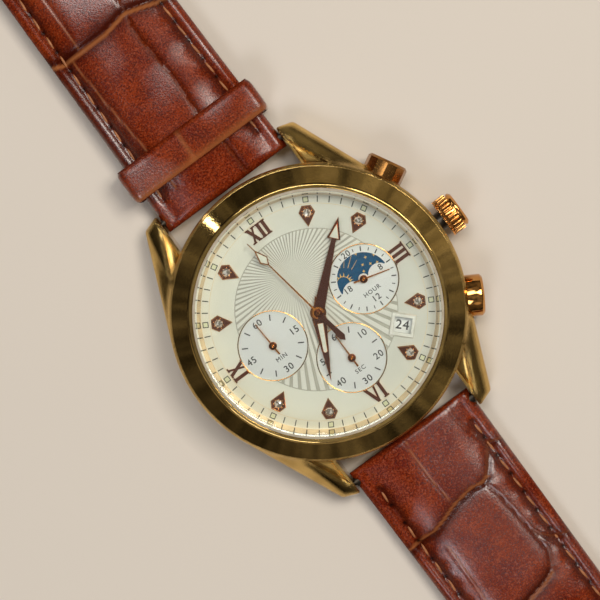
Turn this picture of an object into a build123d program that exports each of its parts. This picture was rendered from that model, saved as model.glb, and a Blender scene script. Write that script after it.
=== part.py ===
from build123d import *
import math
import os

os.makedirs("parts", exist_ok=True)

# A dress chronograph lying on its back: +Z out through the crystal, +Y towards 12 o'clock,
# +X towards the crown. The origin is the middle of the case back's flat outer face.

# Common fits and overruns
overrun = 1.0
running_fit = 0.05
pivot_fit = 0.03
press_gap = 0.02

# Case, bezel and crystal
case_radius = 20.2
case_wall = 3.35
case_back_rim = 0.9
case_height = 6.5
case_edge = 0.42
neck_wall = 1.05
neck_height = 0.7
bezel_step = 0.5
bezel_height = 2.4
bezel_wall = 1.25
bezel_lip_width = 0.5
bezel_lip_step = 0.18
bezel_lip_slope_width = 0.2
bezel_edge = 0.15
gasket_width = 0.33
crystal_thickness = 1.8
crystal_edge = 0.25
gasket_height = 1.4
back_step = 2.5
back_boss_height = 0.6
back_recess_step = 1.95
back_floor = 0.6
back_gasket_width = 0.4
back_gasket_height = 0.3
back_edge = 0.25
back_notch_width = 3.0
back_notch_depth = 0.6

# Lugs and spring bars
lug_gap = 20.2
lug_tip_reach = 3.2
lug_corner_x = 12.5
lug_corner_reach = 2.5
lug_root_depth = 1.5
ridge_tip_x = 10.7
ridge_tip_reach = 2.7
ridge_tip_z = 4.9
ridge_root_x = 13.5
ridge_root_inset = 5.2
ridge_root_z = 7.0
flank_tip_z = 3.7
lug_inner_root_z = 6.6
hollow_depth = 0.9
hollow_rim = 0.35
bar_reach = 1.85
bar_z = 2.9
bar_radius = 0.75
bar_pin_radius = 0.4
bar_pin_length = 0.9
bar_end_gap = 0.15

# Dial and what stands on it
dial_fit = 0.2
dial_bottom = 5.8
dial_thickness = 0.4
flange_height = 2.1
flange_cover = 0.15
flange_slope_width = 0.45
flange_fit = 0.1
subdial_distance = 7.6
subdial_radius = 4.55
subdial_sink = 0.15
subdial_ring_inner = 4.66
subdial_ring_outer = 4.8
subdial_ring_height = 0.15
dial_centre_hole = 1.05
subdial_hole = 0.3
aperture_radius = 3.6
aperture_hump_radius = 1.55
aperture_hump_x = 2.1
aperture_hump_drop = 0.8
aperture_hub_radius = 0.72
date_distance = 11.5
date_window_degrees = 135.0
date_window_length = 2.4
date_window_width = 2.1
date_frame_length = 3.4
date_frame_width = 3.2
date_frame_height = 0.25
marker_inset = 1.35
marker_length = 2.9
marker_width = 2.27
marker_head = 1.23
marker_shoulder = 0.95
marker_height = 0.3
stone_radius = 0.52
stone_seat = 0.05
stone_table_radius = 0.3
stone_girdle_height = 0.3
stone_crown_height = 0.16
numeral_inset = 1.25
numeral_length = 2.2
numeral_height = 0.25
numeral_stroke = 0.48
numeral_thin_stroke = 0.3
numeral_pitch = 0.8
numeral_serif = 0.22
numeral_serif_overhang = 0.15
numeral_cross_half = 0.45

# Hands, each measured from its arbor
hour_hand_length = 9.5
hour_hand_width = 1.95
hour_hand_widest = 0.8
hour_hand_tail = 2.4
hour_hand_hub = 1.1
hour_hand_bottom = 6.8
hour_slot_start = 1.5
hour_slot_end = 5.2
hour_slot_root_width = 0.72
hour_slot_width = 0.48
minute_hand_length = 13.2
minute_hand_root_width = 1.6
minute_hand_neck_width = 0.6
minute_hand_tail = 2.05
minute_hand_hub = 0.97
minute_hand_bottom = 7.12
arrow_start = 10.15
arrow_width = 1.85
arrow_border = 0.15
seconds_hand_length = 13.3
seconds_hand_width = 0.26
seconds_hand_tail = 5.15
seconds_tail_width = 0.9
seconds_tail_root_width = 0.46
seconds_tail_point = 0.6
seconds_hub = 0.84
seconds_boss = 0.54
seconds_hand_bottom = 7.5
lozenge_start = 9.1
lozenge_widest = 10.2
lozenge_end = 12.1
lozenge_width = 1.35
lozenge_border = 0.16
hand_thickness = 0.15
small_hand_length = 3.75
small_hand_tail = 1.45
small_hand_width = 0.24
small_hand_hub = 0.55
small_hand_bottom = 6.38
small_hand_cap = 0.12
minute_rest_degrees = 48.3
hour_rest_degrees = 205.8
seconds_rest_degrees = -9.2
day_rest_degrees = 105.4
counter_rest_degrees = -3.0
small_seconds_rest_degrees = 0.0

# Movement frame
movement_inset = 2.25
movement_ring_gap = 0.15
ring_fit = 0.1
plate_bottom = 3.5
plate_thickness = 1.2
plate_land_height = 0.25
plate_land_inner = 10.7
plate_land_outer = 12.8
board_bottom = 1.6
board_thickness = 0.25
board_radius = 13.9
bridge_bottom = 1.9
bridge_thickness = 0.3
bridge_radius = 7.5
bridge_x = -2.7
bridge_y = -2.5
bridge_pillar_radius = 0.7
bridge_pillar_places = ((-6.6, -6.0), (-3.6, -5.4))
screw_circle_radius = 12.3
screw_angles = (0.0, 90.0, 160.0, 225.0, 280.0)
pillar_radius = 0.9
screw_radius = 0.35
screw_head_radius = 0.65
screw_head_height = 0.25
screw_depth = 1.9
screw_slot_width = 0.16
screw_slot_depth = 0.12
battery_x = 6.2
battery_y = 7.0
battery_radius = 4.75
battery_height = 2.1
battery_bottom = 1.3
battery_cap_radius = 4.0
battery_cap_height = 0.2
battery_fit = 0.15

# Two stepping motors: centre of each coil and the direction of its winding
coil_places = ((9.0, -6.5, 53.1), (-6.5, 8.5, 36.9))
coil_length = 6.4
coil_radius = 0.68
coil_flange_radius = 0.8
coil_flange_thickness = 0.25
stator_reach = 2.6
stator_thickness = 0.2
stator_bar_width = 1.7
stator_post_width = 0.8
stator_rotor_hole = 0.6

# Going train, motion works and counter train: tooth counts and modules
going_module = 0.11
third_module = 0.095
motion_module = 0.2
chrono_module = 0.1
counter_module = 0.11
centre_teeth = 75
third_pinion_teeth = 10
third_teeth = 80
seconds_pinion_teeth = 10
cannon_teeth = 10
minute_wheel_teeth = 30
minute_pinion_teeth = 8
hour_teeth = 32
day_intermediate_teeth = 24
day_intermediate_pinion_teeth = 12
day_teeth = 32
chrono_pinion_teeth = 10
counter_intermediate_teeth = 80
counter_pinion_teeth = 10
counter_teeth = 75
seconds_wheel_teeth = 60
tooth_tip_share = 0.9
tooth_root_share = 1.25
tooth_tip_width_share = 0.16
tooth_pitch_width_share = 0.38
tooth_root_width_share = 0.46
wheel_thickness = 0.15
pinion_thickness = 0.25
centre_wheel_bottom = 3.22
third_wheel_bottom = 2.92
intermediate_bottom = 2.62
counter_wheel_bottom = 2.32
chrono_arbor_radius = 0.25
centre_tube_inner = 0.3
centre_tube_outer = 0.46
cannon_outer = 0.66
hour_tube_inner = 0.71
hour_tube_outer = 0.9
train_arbor_radius = 0.2
long_arbor_radius = 0.18
pivot_radius = 0.12
pivot_length = 0.25
cannon_leaf_bottom = 4.86
cannon_leaf_height = 0.28
minute_pinion_height = 0.32
hour_wheel_bottom = 5.2
hour_wheel_thickness = 0.2
day_wheel_bottom = 5.42
disc_bottom = 5.6
disc_thickness = 0.12
disc_radius = 3.9
minute_wheel_angle = 90.0
hub_collar = 0.35

# Calendar
date_ring_bottom = 4.98
date_ring_thickness = 0.36
date_ring_outer = 13.1
date_ring_inner = 10.25
date_teeth = 31
date_tooth_height = 0.35
date_tooth_width = 0.3
finger_width = 0.3
finger_gap = 0.15
finger_thickness = 0.14

# Crown, stem and setting lever
stem_z = 4.1
stem_radius = 0.4
stem_start = 9.4
stem_bore_fit = 0.04
groove_start = 10.0
groove_length = 0.5
groove_radius = 0.25
crown_pull = 1.4
crown_clearance = 0.8
crown_grip_length = 1.9
crown_groove_length = 0.2
crown_groove_radius = 2.35
crown_cap_length = 0.6
crown_cap_edge = 0.3
crown_radius = 2.7
crown_cap_radius = 2.5
crown_flutes = 24
crown_flute_radius = 0.2
crown_recess_length = 1.3
crown_stem_seat = 0.4
crown_tube_radius = 1.3
crown_tube_seat = 1.0
lever_thickness = 0.15
lever_width = 1.6
lever_length = 2.2
lever_lift = 0.04
lever_pin_radius = 0.16

# Pushers, one each side of the crown
start_pusher_degrees = 28.5
reset_pusher_degrees = -30.7
pusher_radius = 2.85
pusher_pocket_radius = 2.95
pusher_pocket_depth = 1.3
pusher_inset = 0.3
pusher_reach = 2.3
pusher_edge = 0.35
pusher_travel = 0.8
pusher_cavity_radius = 2.0
pusher_cavity_depth = 1.6
pusher_stem_radius = 0.6
pusher_stem_reach = 1.25
pusher_tube_radius = 1.2
pusher_facets = 12
pusher_facet_depth = 0.12
spring_wire_radius = 0.13
spring_coil_radius = 1.55
spring_turns = 4
spring_length = 1.3
spring_gap = 0.05

# Strap
strap_width = 19.8
strap_end_width = 18.0
strap_loop_radius = 1.5
strap_lining = 1.2
strap_start_gap = 2.7
strap_full_gap = 5.2
buckle_strap_length = 74.9
buckle_strap_bottom = 1.3
buckle_strap_height = 4.2
buckle_strap_end_height = 3.2
hole_strap_length = 114.7
hole_strap_height = 4.3
hole_strap_end_height = 2.9
hole_strap_flat_gap = 4.7
strap_point_length = 9.0
strap_point_width = 7.0
strap_hole_radius = 1.0
strap_hole_pitch = 6.5
strap_hole_count = 7
strap_hole_start = 61.7
keeper_thickness = 1.0
keeper_length = 5.0
keeper_side_gap = 0.25
keeper_roof_gap = 0.3
keeper_corner = 0.9
free_keeper_gap = 6.55
fixed_keeper_gap = 65.2

# Buckle
buckle_bar_z = 1.6
buckle_bar_radius = 0.6
buckle_inner_width = 18.8
buckle_arm_width = 2.1
buckle_height = 2.4
buckle_length = 11.0
buckle_heel = 1.2
buckle_far_bar = 2.0
buckle_corner = 2.5
tang_width = 2.0
tang_slot_width = 3.0
tang_slot_length = 4.0
tang_height = 1.0
tang_hub_radius = 1.25
tang_lift = 0.08
tang_overhang = 0.5

# Radii that follow from the case
bore_radius = case_radius - case_wall
neck_radius = bore_radius + neck_wall
bezel_radius = case_radius - bezel_step
gasket_outer = bore_radius - running_fit
crystal_radius = gasket_outer - gasket_width - press_gap
back_radius = case_radius - back_step
back_recess_radius = bore_radius - back_recess_step
lug_root_radius = case_radius - lug_root_depth
dial_radius = bore_radius - dial_fit
flange_top_radius = crystal_radius - flange_cover
flange_foot_radius = flange_top_radius - flange_slope_width
marker_outer = flange_foot_radius - marker_inset
numeral_outer = flange_foot_radius - numeral_inset
movement_radius = bore_radius - movement_inset
movement_ring_inner = movement_radius + movement_ring_gap

# Places along the strap and the controls that follow from the case
lug_tip_y = case_radius + lug_tip_reach
lug_corner_y = case_radius + lug_corner_reach
ridge_tip_y = case_radius + ridge_tip_reach
ridge_root_y = case_radius - ridge_root_inset
bar_y = case_radius + bar_reach
crown_start = case_radius + crown_clearance
crown_tube_end = crown_start + crown_tube_seat
pusher_pocket_floor = case_radius - pusher_pocket_depth
pusher_start = case_radius - pusher_inset
pusher_end = case_radius + pusher_reach
pusher_stem_start = bore_radius - pusher_stem_reach
strap_start = bar_y + strap_start_gap
strap_full_y = bar_y + strap_full_gap
buckle_strap_end = bar_y + buckle_strap_length
hole_strap_end = bar_y + hole_strap_length
hole_strap_flat_y = bar_y + hole_strap_flat_gap
strap_hole_first = bar_y + strap_hole_start
free_keeper_y = bar_y + free_keeper_gap
fixed_keeper_y = bar_y + fixed_keeper_gap

# Heights and half sizes
case_top = case_back_rim + case_height
neck_top = case_top + neck_height
bezel_top = case_top + bezel_height
dial_top = dial_bottom + dial_thickness
flange_top = dial_top + flange_height
plate_top = plate_bottom + plate_thickness
boss_top = case_back_rim + back_boss_height
arbor_foot = bridge_bottom + running_fit
lug_x = lug_gap / 2
flange_outer = bore_radius - flange_fit


def polar(radius, degrees):
    """Point at a radius and an angle counted from +X towards +Y."""
    return (radius * math.cos(math.radians(degrees)), radius * math.sin(math.radians(degrees)))


def clock(radius, degrees):
    """Point at a radius and an angle counted clockwise from 12 o'clock."""
    return polar(radius, 90.0 - degrees)


def crossing(first, first_radius, second, second_radius, side):
    """Place at given distances from two centres, on the side with the sign given."""
    gap_x = second[0] - first[0]
    gap_y = second[1] - first[1]
    gap = math.hypot(gap_x, gap_y)
    along = (first_radius**2 - second_radius**2 + gap**2) / (2 * gap)
    across = side * math.sqrt(first_radius**2 - along**2)
    x = first[0] + (along * gap_x - across * gap_y) / gap
    y = first[1] + (along * gap_y + across * gap_x) / gap
    return (x, y)


centre_place = (0.0, 0.0)
seconds_place = (0.0, -subdial_distance)
counter_place = (-subdial_distance, 0.0)
day_place = (subdial_distance, 0.0)
minute_wheel_distance = motion_module * (cannon_teeth + minute_wheel_teeth) / 2
minute_wheel_place = polar(minute_wheel_distance, minute_wheel_angle)
third_place = crossing(
    centre_place,
    going_module * (centre_teeth + third_pinion_teeth) / 2,
    seconds_place,
    third_module * (third_teeth + seconds_pinion_teeth) / 2,
    1,
)
intermediate_place = crossing(
    centre_place,
    chrono_module * (chrono_pinion_teeth + counter_intermediate_teeth) / 2,
    counter_place,
    counter_module * (counter_pinion_teeth + counter_teeth) / 2,
    -1,
)
day_intermediate_place = crossing(
    centre_place,
    motion_module * (hour_teeth + day_intermediate_teeth) / 2,
    day_place,
    motion_module * (day_intermediate_pinion_teeth + day_teeth) / 2,
    -1,
)
date_place = clock(date_distance, date_window_degrees)
coil_end_reach = coil_length / 2 + coil_flange_thickness


def radial_plane(degrees, distance):
    """Plane square to a radius of the case, facing outwards, at the stem's height."""
    x, y = polar(distance, degrees)
    side = polar(1.0, degrees + 90.0)
    out = polar(1.0, degrees)
    return Plane(origin=(x, y, stem_z), x_dir=(side[0], side[1], 0), z_dir=(out[0], out[1], 0))


def disc(place, bottom, height, outer, inner=0.0, mode=Mode.ADD):
    """Upright cylinder or ring in the part that is being built."""
    with BuildSketch(Plane.XY.offset(bottom)) as section:
        with Locations(place):
            Circle(outer)
            if inner > 0:
                Circle(inner, mode=Mode.SUBTRACT)
    extrude(section.sketch, amount=height, mode=mode)


def spoke(degrees, start, end, outer, inner=0.0, mode=Mode.ADD):
    """Cylinder or tube along a radius of the case, between two distances from the centre."""
    with BuildSketch(radial_plane(degrees, start)) as section:
        Circle(outer)
        if inner > 0:
            Circle(inner, mode=Mode.SUBTRACT)
    extrude(section.sketch, amount=end - start, mode=mode)


def turned(points):
    """Solid of revolution about the watch's axis from (radius, height) points."""
    with BuildSketch(Plane.XZ) as section:
        with BuildLine():
            Polyline(*points, close=True)
        make_face()
    revolve(section.sketch, axis=Axis.Z)


def slab(plane, points, height, mode=Mode.ADD):
    """Straight-sided outline on a plane, extruded along its normal."""
    with BuildSketch(plane) as section:
        with BuildLine():
            Polyline(*points, close=True)
        make_face()
    extrude(section.sketch, amount=height, mode=mode)


def gear(place, bottom, thickness, teeth, module, degrees, bore):
    """Spur wheel or pinion with plain tapered teeth, one tooth centred on the angle given."""
    pitch_radius = module * teeth / 2
    pitch = 360.0 / teeth
    rows = (
        (pitch_radius - module * tooth_root_share, -tooth_root_width_share / 2),
        (pitch_radius, -tooth_pitch_width_share / 2),
        (pitch_radius + module * tooth_tip_share, -tooth_tip_width_share / 2),
        (pitch_radius + module * tooth_tip_share, tooth_tip_width_share / 2),
        (pitch_radius, tooth_pitch_width_share / 2),
        (pitch_radius - module * tooth_root_share, tooth_root_width_share / 2),
    )
    points = [
        polar(radius, degrees + (tooth + share) * pitch) for tooth in range(teeth) for radius, share in rows
    ]
    with BuildSketch(Plane.XY.offset(bottom)) as section:
        with Locations(place):
            with BuildLine():
                Polyline(*[(place[0] + x, place[1] + y) for x, y in points], close=True)
        make_face()
        if bore > 0:
            with Locations(place):
                Circle(bore, mode=Mode.SUBTRACT)
    extrude(section.sketch, amount=thickness)


def meshed(driver_place, driver_teeth, driver_degrees, place, teeth):
    """Angle that puts a wheel's gap against the driver's tooth at rest."""
    line = math.degrees(math.atan2(place[1] - driver_place[1], place[0] - driver_place[0]))
    driver_phase = (line - driver_degrees) * driver_teeth / 360.0
    return line + 180.0 - (0.5 - driver_phase) * 360.0 / teeth


def arbor(place, bottom, top, radius):
    """Steel arbor, stepped down to a pivot at each end."""
    disc(place, bottom, top - bottom, pivot_radius)
    disc(place, bottom + pivot_length, top - bottom - 2 * pivot_length, radius)


def finish(piece, label):
    """Name a finished piece and write it to its own file."""
    piece.part.label = label
    export_step(piece.part, f"parts/{label}.step")


# Case back: rim, boss into the case, recess for the battery and opening notch
with BuildPart() as case_back:
    disc(centre_place, 0, case_back_rim, back_radius)
    chamfer(case_back.edges().group_by(Axis.Z)[0], length=back_edge)
    disc(centre_place, case_back_rim, back_boss_height, flange_outer)
    disc(centre_place, back_floor, boss_top - back_floor, back_recess_radius, mode=Mode.SUBTRACT)
    gasket_inner = flange_outer + back_gasket_width / 2
    disc(
        centre_place,
        case_back_rim - back_gasket_height,
        back_gasket_height,
        gasket_inner + back_gasket_width,
        gasket_inner,
        mode=Mode.SUBTRACT,
    )
    with BuildSketch(Plane.XY.offset(case_back_rim - back_gasket_height)) as notch:
        with Locations((0, -back_radius)):
            Rectangle(back_notch_width, back_notch_depth)
    extrude(notch.sketch, amount=back_gasket_height, mode=Mode.SUBTRACT)
finish(case_back, "case_back")

# Case back gasket: flat ring filling the groove
with BuildPart() as case_back_gasket:
    disc(
        centre_place,
        case_back_rim - back_gasket_height,
        back_gasket_height,
        gasket_inner + back_gasket_width - press_gap,
        gasket_inner + press_gap,
    )
finish(case_back_gasket, "case_back_gasket")

# One lug: flat-sided horn that leaves the case on a tangent, with a sloping outer facet
lug_corner_distance = math.hypot(lug_corner_x, lug_corner_y)
lug_tangent_degrees = math.degrees(
    math.atan2(lug_corner_y, lug_corner_x) - math.acos(case_radius / lug_corner_distance)
)
ridge_tip = Vector(ridge_tip_x, ridge_tip_y, ridge_tip_z)
ridge_root = Vector(ridge_root_x, ridge_root_y, ridge_root_z)
flank_tip = Vector(lug_corner_x, lug_corner_y, flank_tip_z)
lug_root_y = math.sqrt(case_radius**2 - lug_x**2)
inner_root = Vector(lug_x, lug_root_y, lug_inner_root_z)
ridge_line = ridge_root - ridge_tip
flank_normal = ridge_line.cross(flank_tip - ridge_tip)
top_normal = (inner_root - ridge_tip).cross(ridge_line)

# Scoop between the lug's ridge, its inner face and the bezel, with a floor along the top slope
with BuildPart() as lug_hollow:
    slab(
        Plane.XY.offset(case_back_rim),
        (
            (lug_x + hollow_rim, lug_root_y - hollow_rim),
            (lug_x + hollow_rim, ridge_tip_y - 4 * hollow_rim),
            (ridge_root_x - hollow_rim, ridge_root_y + hollow_rim),
        ),
        case_height,
    )
    hollow_floor = ridge_tip - top_normal.normalized() * hollow_depth
    split(bisect_by=Plane(origin=hollow_floor, z_dir=top_normal), keep=Keep.TOP)

with BuildPart() as lug:
    slab(
        Plane.XY.offset(case_back_rim),
        (
            (lug_x, math.sqrt(lug_root_radius**2 - lug_x**2)),
            (lug_x, lug_tip_y),
            (lug_corner_x, lug_corner_y),
            polar(case_radius, lug_tangent_degrees),
            polar(lug_root_radius, lug_tangent_degrees),
        ),
        case_height,
    )
    split(bisect_by=Plane(origin=ridge_tip, z_dir=flank_normal), keep=Keep.BOTTOM)
    split(bisect_by=Plane(origin=ridge_tip, z_dir=top_normal), keep=Keep.BOTTOM)
    add(lug_hollow.part, mode=Mode.SUBTRACT)

# Mid case: turned ring with four lugs, bored for the crown tube and the pushers
with BuildPart() as mid_case:
    add(lug.part)
    mirror(about=Plane.YZ)
    mirror(about=Plane.XZ)
    turned(
        (
            (bore_radius, case_back_rim),
            (case_radius - case_edge, case_back_rim),
            (case_radius, case_back_rim + case_edge),
            (case_radius, case_top - case_edge),
            (case_radius - case_edge, case_top),
            (neck_radius, case_top),
            (neck_radius, neck_top),
            (bore_radius, neck_top),
        )
    )
    spoke(0.0, bore_radius - overrun, case_radius + overrun, crown_tube_radius, mode=Mode.SUBTRACT)
    for angle in (start_pusher_degrees, reset_pusher_degrees):
        spoke(angle, pusher_pocket_floor, case_radius + overrun, pusher_pocket_radius, mode=Mode.SUBTRACT)
        spoke(angle, bore_radius - overrun, case_radius, pusher_tube_radius, mode=Mode.SUBTRACT)
    with BuildSketch(Plane.YZ) as bar_holes:
        with Locations((bar_y, bar_z), (-bar_y, bar_z)):
            Circle(bar_pin_radius + pivot_fit)
    extrude(bar_holes.sketch, amount=lug_x + bar_pin_length, both=True, mode=Mode.SUBTRACT)
finish(mid_case, "mid_case")

# Spring bars: a tube with a sprung pin at each end, one for each half of the strap
with BuildPart() as spring_bars:
    with BuildSketch(Plane.YZ) as bar_tubes:
        with Locations((bar_y, bar_z), (-bar_y, bar_z)):
            Circle(bar_radius)
    extrude(bar_tubes.sketch, amount=lug_x - bar_end_gap, both=True)
    with BuildSketch(Plane.YZ) as bar_pins:
        with Locations((bar_y, bar_z), (-bar_y, bar_z)):
            Circle(bar_pin_radius)
    extrude(bar_pins.sketch, amount=lug_x + bar_pin_length - bar_end_gap, both=True)
finish(spring_bars, "spring_bars")

# Bezel: wide sloping band up to a raised lip that holds the crystal
with BuildPart() as bezel:
    lip_radius = gasket_outer + press_gap + bezel_lip_width
    turned(
        (
            (neck_radius + press_gap, case_top),
            (bezel_radius, case_top),
            (bezel_radius, case_top + bezel_wall),
            (lip_radius + bezel_lip_slope_width, bezel_top - bezel_lip_step),
            (lip_radius, bezel_top),
            (gasket_outer + press_gap, bezel_top),
            (gasket_outer + press_gap, neck_top + press_gap),
            (neck_radius + press_gap, neck_top + press_gap),
        )
    )
    chamfer(
        bezel.edges().filter_by(GeomType.CIRCLE).group_by(Axis.Z)[-1],
        length=bezel_edge / 2,
    )
finish(bezel, "bezel")

# Crystal gasket: tan ring between the crystal and the bezel
with BuildPart() as crystal_gasket:
    disc(centre_place, flange_top, gasket_height, gasket_outer, crystal_radius + press_gap)
finish(crystal_gasket, "crystal_gasket")

# Crystal: flat mineral glass with a bevelled top edge
with BuildPart() as crystal:
    disc(centre_place, flange_top, crystal_thickness, crystal_radius)
    chamfer(crystal.edges().group_by(Axis.Z)[-1], length=crystal_edge)
finish(crystal, "crystal")

# Flange ring: sloping wall between the dial and the crystal
with BuildPart() as flange_ring:
    turned(
        (
            (flange_foot_radius, dial_top),
            (flange_outer, dial_top),
            (flange_outer, flange_top),
            (flange_top_radius, flange_top),
        )
    )
finish(flange_ring, "flange_ring")

# Dial: plate with three sunk sub-dials, the day-and-night aperture and the date window
with BuildPart() as dial_plate:
    disc(centre_place, dial_bottom, dial_thickness, dial_radius)
    sink_floor = dial_top - subdial_sink
    for place in (seconds_place, counter_place, day_place):
        disc(place, sink_floor, subdial_sink, subdial_radius, mode=Mode.SUBTRACT)
        disc(place, dial_bottom, dial_thickness, subdial_hole, mode=Mode.SUBTRACT)
    disc(centre_place, dial_bottom, dial_thickness, dial_centre_hole, mode=Mode.SUBTRACT)
    with BuildSketch(Plane.XY.offset(dial_bottom)) as aperture:
        with Locations(day_place):
            Circle(aperture_radius)
        with Locations((subdial_distance, -aperture_radius / 2)):
            Rectangle(2 * aperture_radius, aperture_radius, mode=Mode.SUBTRACT)
        with Locations(
            (subdial_distance - aperture_hump_x, -aperture_hump_drop),
            (subdial_distance + aperture_hump_x, -aperture_hump_drop),
        ):
            Circle(aperture_hump_radius, mode=Mode.SUBTRACT)
        with Locations(day_place):
            Circle(aperture_hub_radius, mode=Mode.SUBTRACT)
    extrude(aperture.sketch, amount=dial_thickness, mode=Mode.SUBTRACT)
    with BuildSketch(Plane.XY.offset(dial_bottom)) as window:
        with Locations(date_place):
            Rectangle(date_window_length, date_window_width, rotation=90.0 - date_window_degrees)
    extrude(window.sketch, amount=dial_thickness, mode=Mode.SUBTRACT)
finish(dial_plate, "dial_plate")

# Sub-dial rings: three thin polished hoops round the sunk fields
with BuildPart() as subdial_rings:
    for place in (seconds_place, counter_place, day_place):
        disc(place, dial_top, subdial_ring_height, subdial_ring_outer, subdial_ring_inner)
finish(subdial_rings, "subdial_rings")

# Date frame: bevelled surround of the window
with BuildPart() as date_frame:
    with BuildSketch(Plane.XY.offset(dial_top)) as frame_foot:
        with Locations(date_place):
            Rectangle(date_frame_length, date_frame_width, rotation=90.0 - date_window_degrees)
    extrude(frame_foot.sketch, amount=date_frame_height)
    chamfer(date_frame.edges().group_by(Axis.Z)[-1], length=date_frame_height / 2)
    with BuildSketch(Plane.XY.offset(dial_top)) as frame_hole:
        with Locations(date_place):
            Rectangle(date_window_length, date_window_width, rotation=90.0 - date_window_degrees)
    extrude(frame_hole.sketch, amount=date_frame_height, mode=Mode.SUBTRACT)
finish(date_frame, "date_frame")


def marker_points():
    """Kite outline with a flat outer head, pointing at the dial's centre along -Y."""
    return (
        (-marker_head / 2, marker_outer),
        (marker_head / 2, marker_outer),
        (marker_width / 2, marker_outer - marker_shoulder),
        (0, marker_outer - marker_length),
        (-marker_width / 2, marker_outer - marker_shoulder),
    )


marker_hours = (1, 2, 4, 5, 7, 8, 10, 11)
stone_distance = marker_outer - marker_shoulder - stone_seat

# Hour markers: eight kites, each bored for a stone
with BuildPart() as hour_markers:
    for hour in marker_hours:
        slab(Plane.XY.offset(dial_top).rotated((0, 0, -30.0 * hour)), marker_points(), marker_height)
    chamfer(hour_markers.edges().group_by(Axis.Z)[-1], length=marker_height / 3)
    for hour in marker_hours:
        disc(
            clock(stone_distance, 30.0 * hour),
            dial_top,
            marker_height,
            stone_radius + press_gap,
            mode=Mode.SUBTRACT,
        )
finish(hour_markers, "hour_markers")

# Marker stones: round stones with a flat table
with BuildPart() as marker_stones:
    for hour in marker_hours:
        place = clock(stone_distance, 30.0 * hour)
        disc(place, dial_top, stone_girdle_height, stone_radius)
        with BuildSketch(Plane.XY.offset(dial_top + stone_girdle_height)) as girdle:
            with Locations(place):
                Circle(stone_radius)
        with BuildSketch(Plane.XY.offset(dial_top + stone_girdle_height + stone_crown_height)) as table:
            with Locations(place):
                Circle(stone_table_radius)
        loft([girdle.sketch, table.sketch], ruled=True)
finish(marker_stones, "marker_stones")


def stroke(plane, start, end, width):
    """Straight bar of a numeral between two points, with its ends cut level."""
    half = width / 2
    points = (
        (start[0] - half, start[1]),
        (start[0] + half, start[1]),
        (end[0] + half, end[1]),
        (end[0] - half, end[1]),
    )
    slab(plane, points, numeral_height)


def serif(plane, centre_x, width, level, inward):
    """Small foot across the end of a stroke."""
    half = width / 2 + numeral_serif_overhang
    points = (
        (centre_x - half, level),
        (centre_x + half, level),
        (centre_x + half, level + inward * numeral_serif),
        (centre_x - half, level + inward * numeral_serif),
    )
    slab(plane, points, numeral_height)


def upright(plane, centre_x, outer, inner):
    """Letter I: one thick stroke with a serif at each end."""
    stroke(plane, (centre_x, inner), (centre_x, outer), numeral_stroke)
    serif(plane, centre_x, numeral_stroke, outer, -1)
    serif(plane, centre_x, numeral_stroke, inner, 1)


def cross(plane, centre_x, outer, inner):
    """Letter X: a thick and a thin diagonal with serifs."""
    half = numeral_cross_half
    stroke(plane, (centre_x + half, inner), (centre_x - half, outer), numeral_stroke)
    stroke(plane, (centre_x - half, inner), (centre_x + half, outer), numeral_thin_stroke)
    for side in (-half, half):
        serif(plane, centre_x + side, numeral_thin_stroke, outer, -1)
        serif(plane, centre_x + side, numeral_thin_stroke, inner, 1)


numeral_inner = numeral_outer - numeral_length
dial_face = Plane.XY.offset(dial_top)

# Roman numerals: XII whole, III, VI and IX cut short by the sub-dial rings
with BuildPart() as roman_numerals:
    cross(dial_face, -numeral_pitch, numeral_outer, numeral_inner)
    upright(dial_face, numeral_pitch / 2, numeral_outer, numeral_inner)
    upright(dial_face, numeral_pitch * 3 / 2, numeral_outer, numeral_inner)
    three_face = dial_face.rotated((0, 0, -90.0))
    for step in (-1, 0, 1):
        upright(three_face, step * numeral_pitch, numeral_outer, numeral_inner - numeral_serif)
    nine_face = dial_face.rotated((0, 0, 90.0))
    upright(nine_face, -numeral_pitch, numeral_outer, numeral_inner - numeral_serif)
    cross(nine_face, numeral_pitch / 2, numeral_outer, numeral_inner - numeral_serif)
    stroke(
        dial_face,
        (-numeral_pitch - numeral_cross_half, -numeral_inner + numeral_serif),
        (-numeral_pitch / 2, -numeral_outer),
        numeral_stroke,
    )
    stroke(
        dial_face,
        (-numeral_pitch / 2 + numeral_cross_half, -numeral_inner + numeral_serif),
        (-numeral_pitch / 2, -numeral_outer),
        numeral_thin_stroke,
    )
    upright(dial_face, numeral_pitch, -numeral_inner + numeral_serif, -numeral_outer)
    for place in (seconds_place, counter_place, day_place):
        disc(place, dial_top, numeral_height, subdial_ring_outer + press_gap, mode=Mode.SUBTRACT)
finish(roman_numerals, "roman_numerals")

# Movement ring: spacer between the movement and the case, pierced for the stem and pushers
with BuildPart() as movement_ring:
    disc(centre_place, boss_top, dial_bottom - boss_top, bore_radius - ring_fit, movement_ring_inner)
    for angle in (0.0, start_pusher_degrees, reset_pusher_degrees):
        spoke(
            angle,
            movement_ring_inner - overrun,
            bore_radius + overrun,
            pusher_stem_radius + ring_fit,
            mode=Mode.SUBTRACT,
        )
finish(movement_ring, "movement_ring")

pillar_places = [polar(screw_circle_radius, angle) for angle in screw_angles]
board_top = board_bottom + board_thickness
bridge_top = bridge_bottom + bridge_thickness
pivot_hole = pivot_radius + pivot_fit

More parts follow.
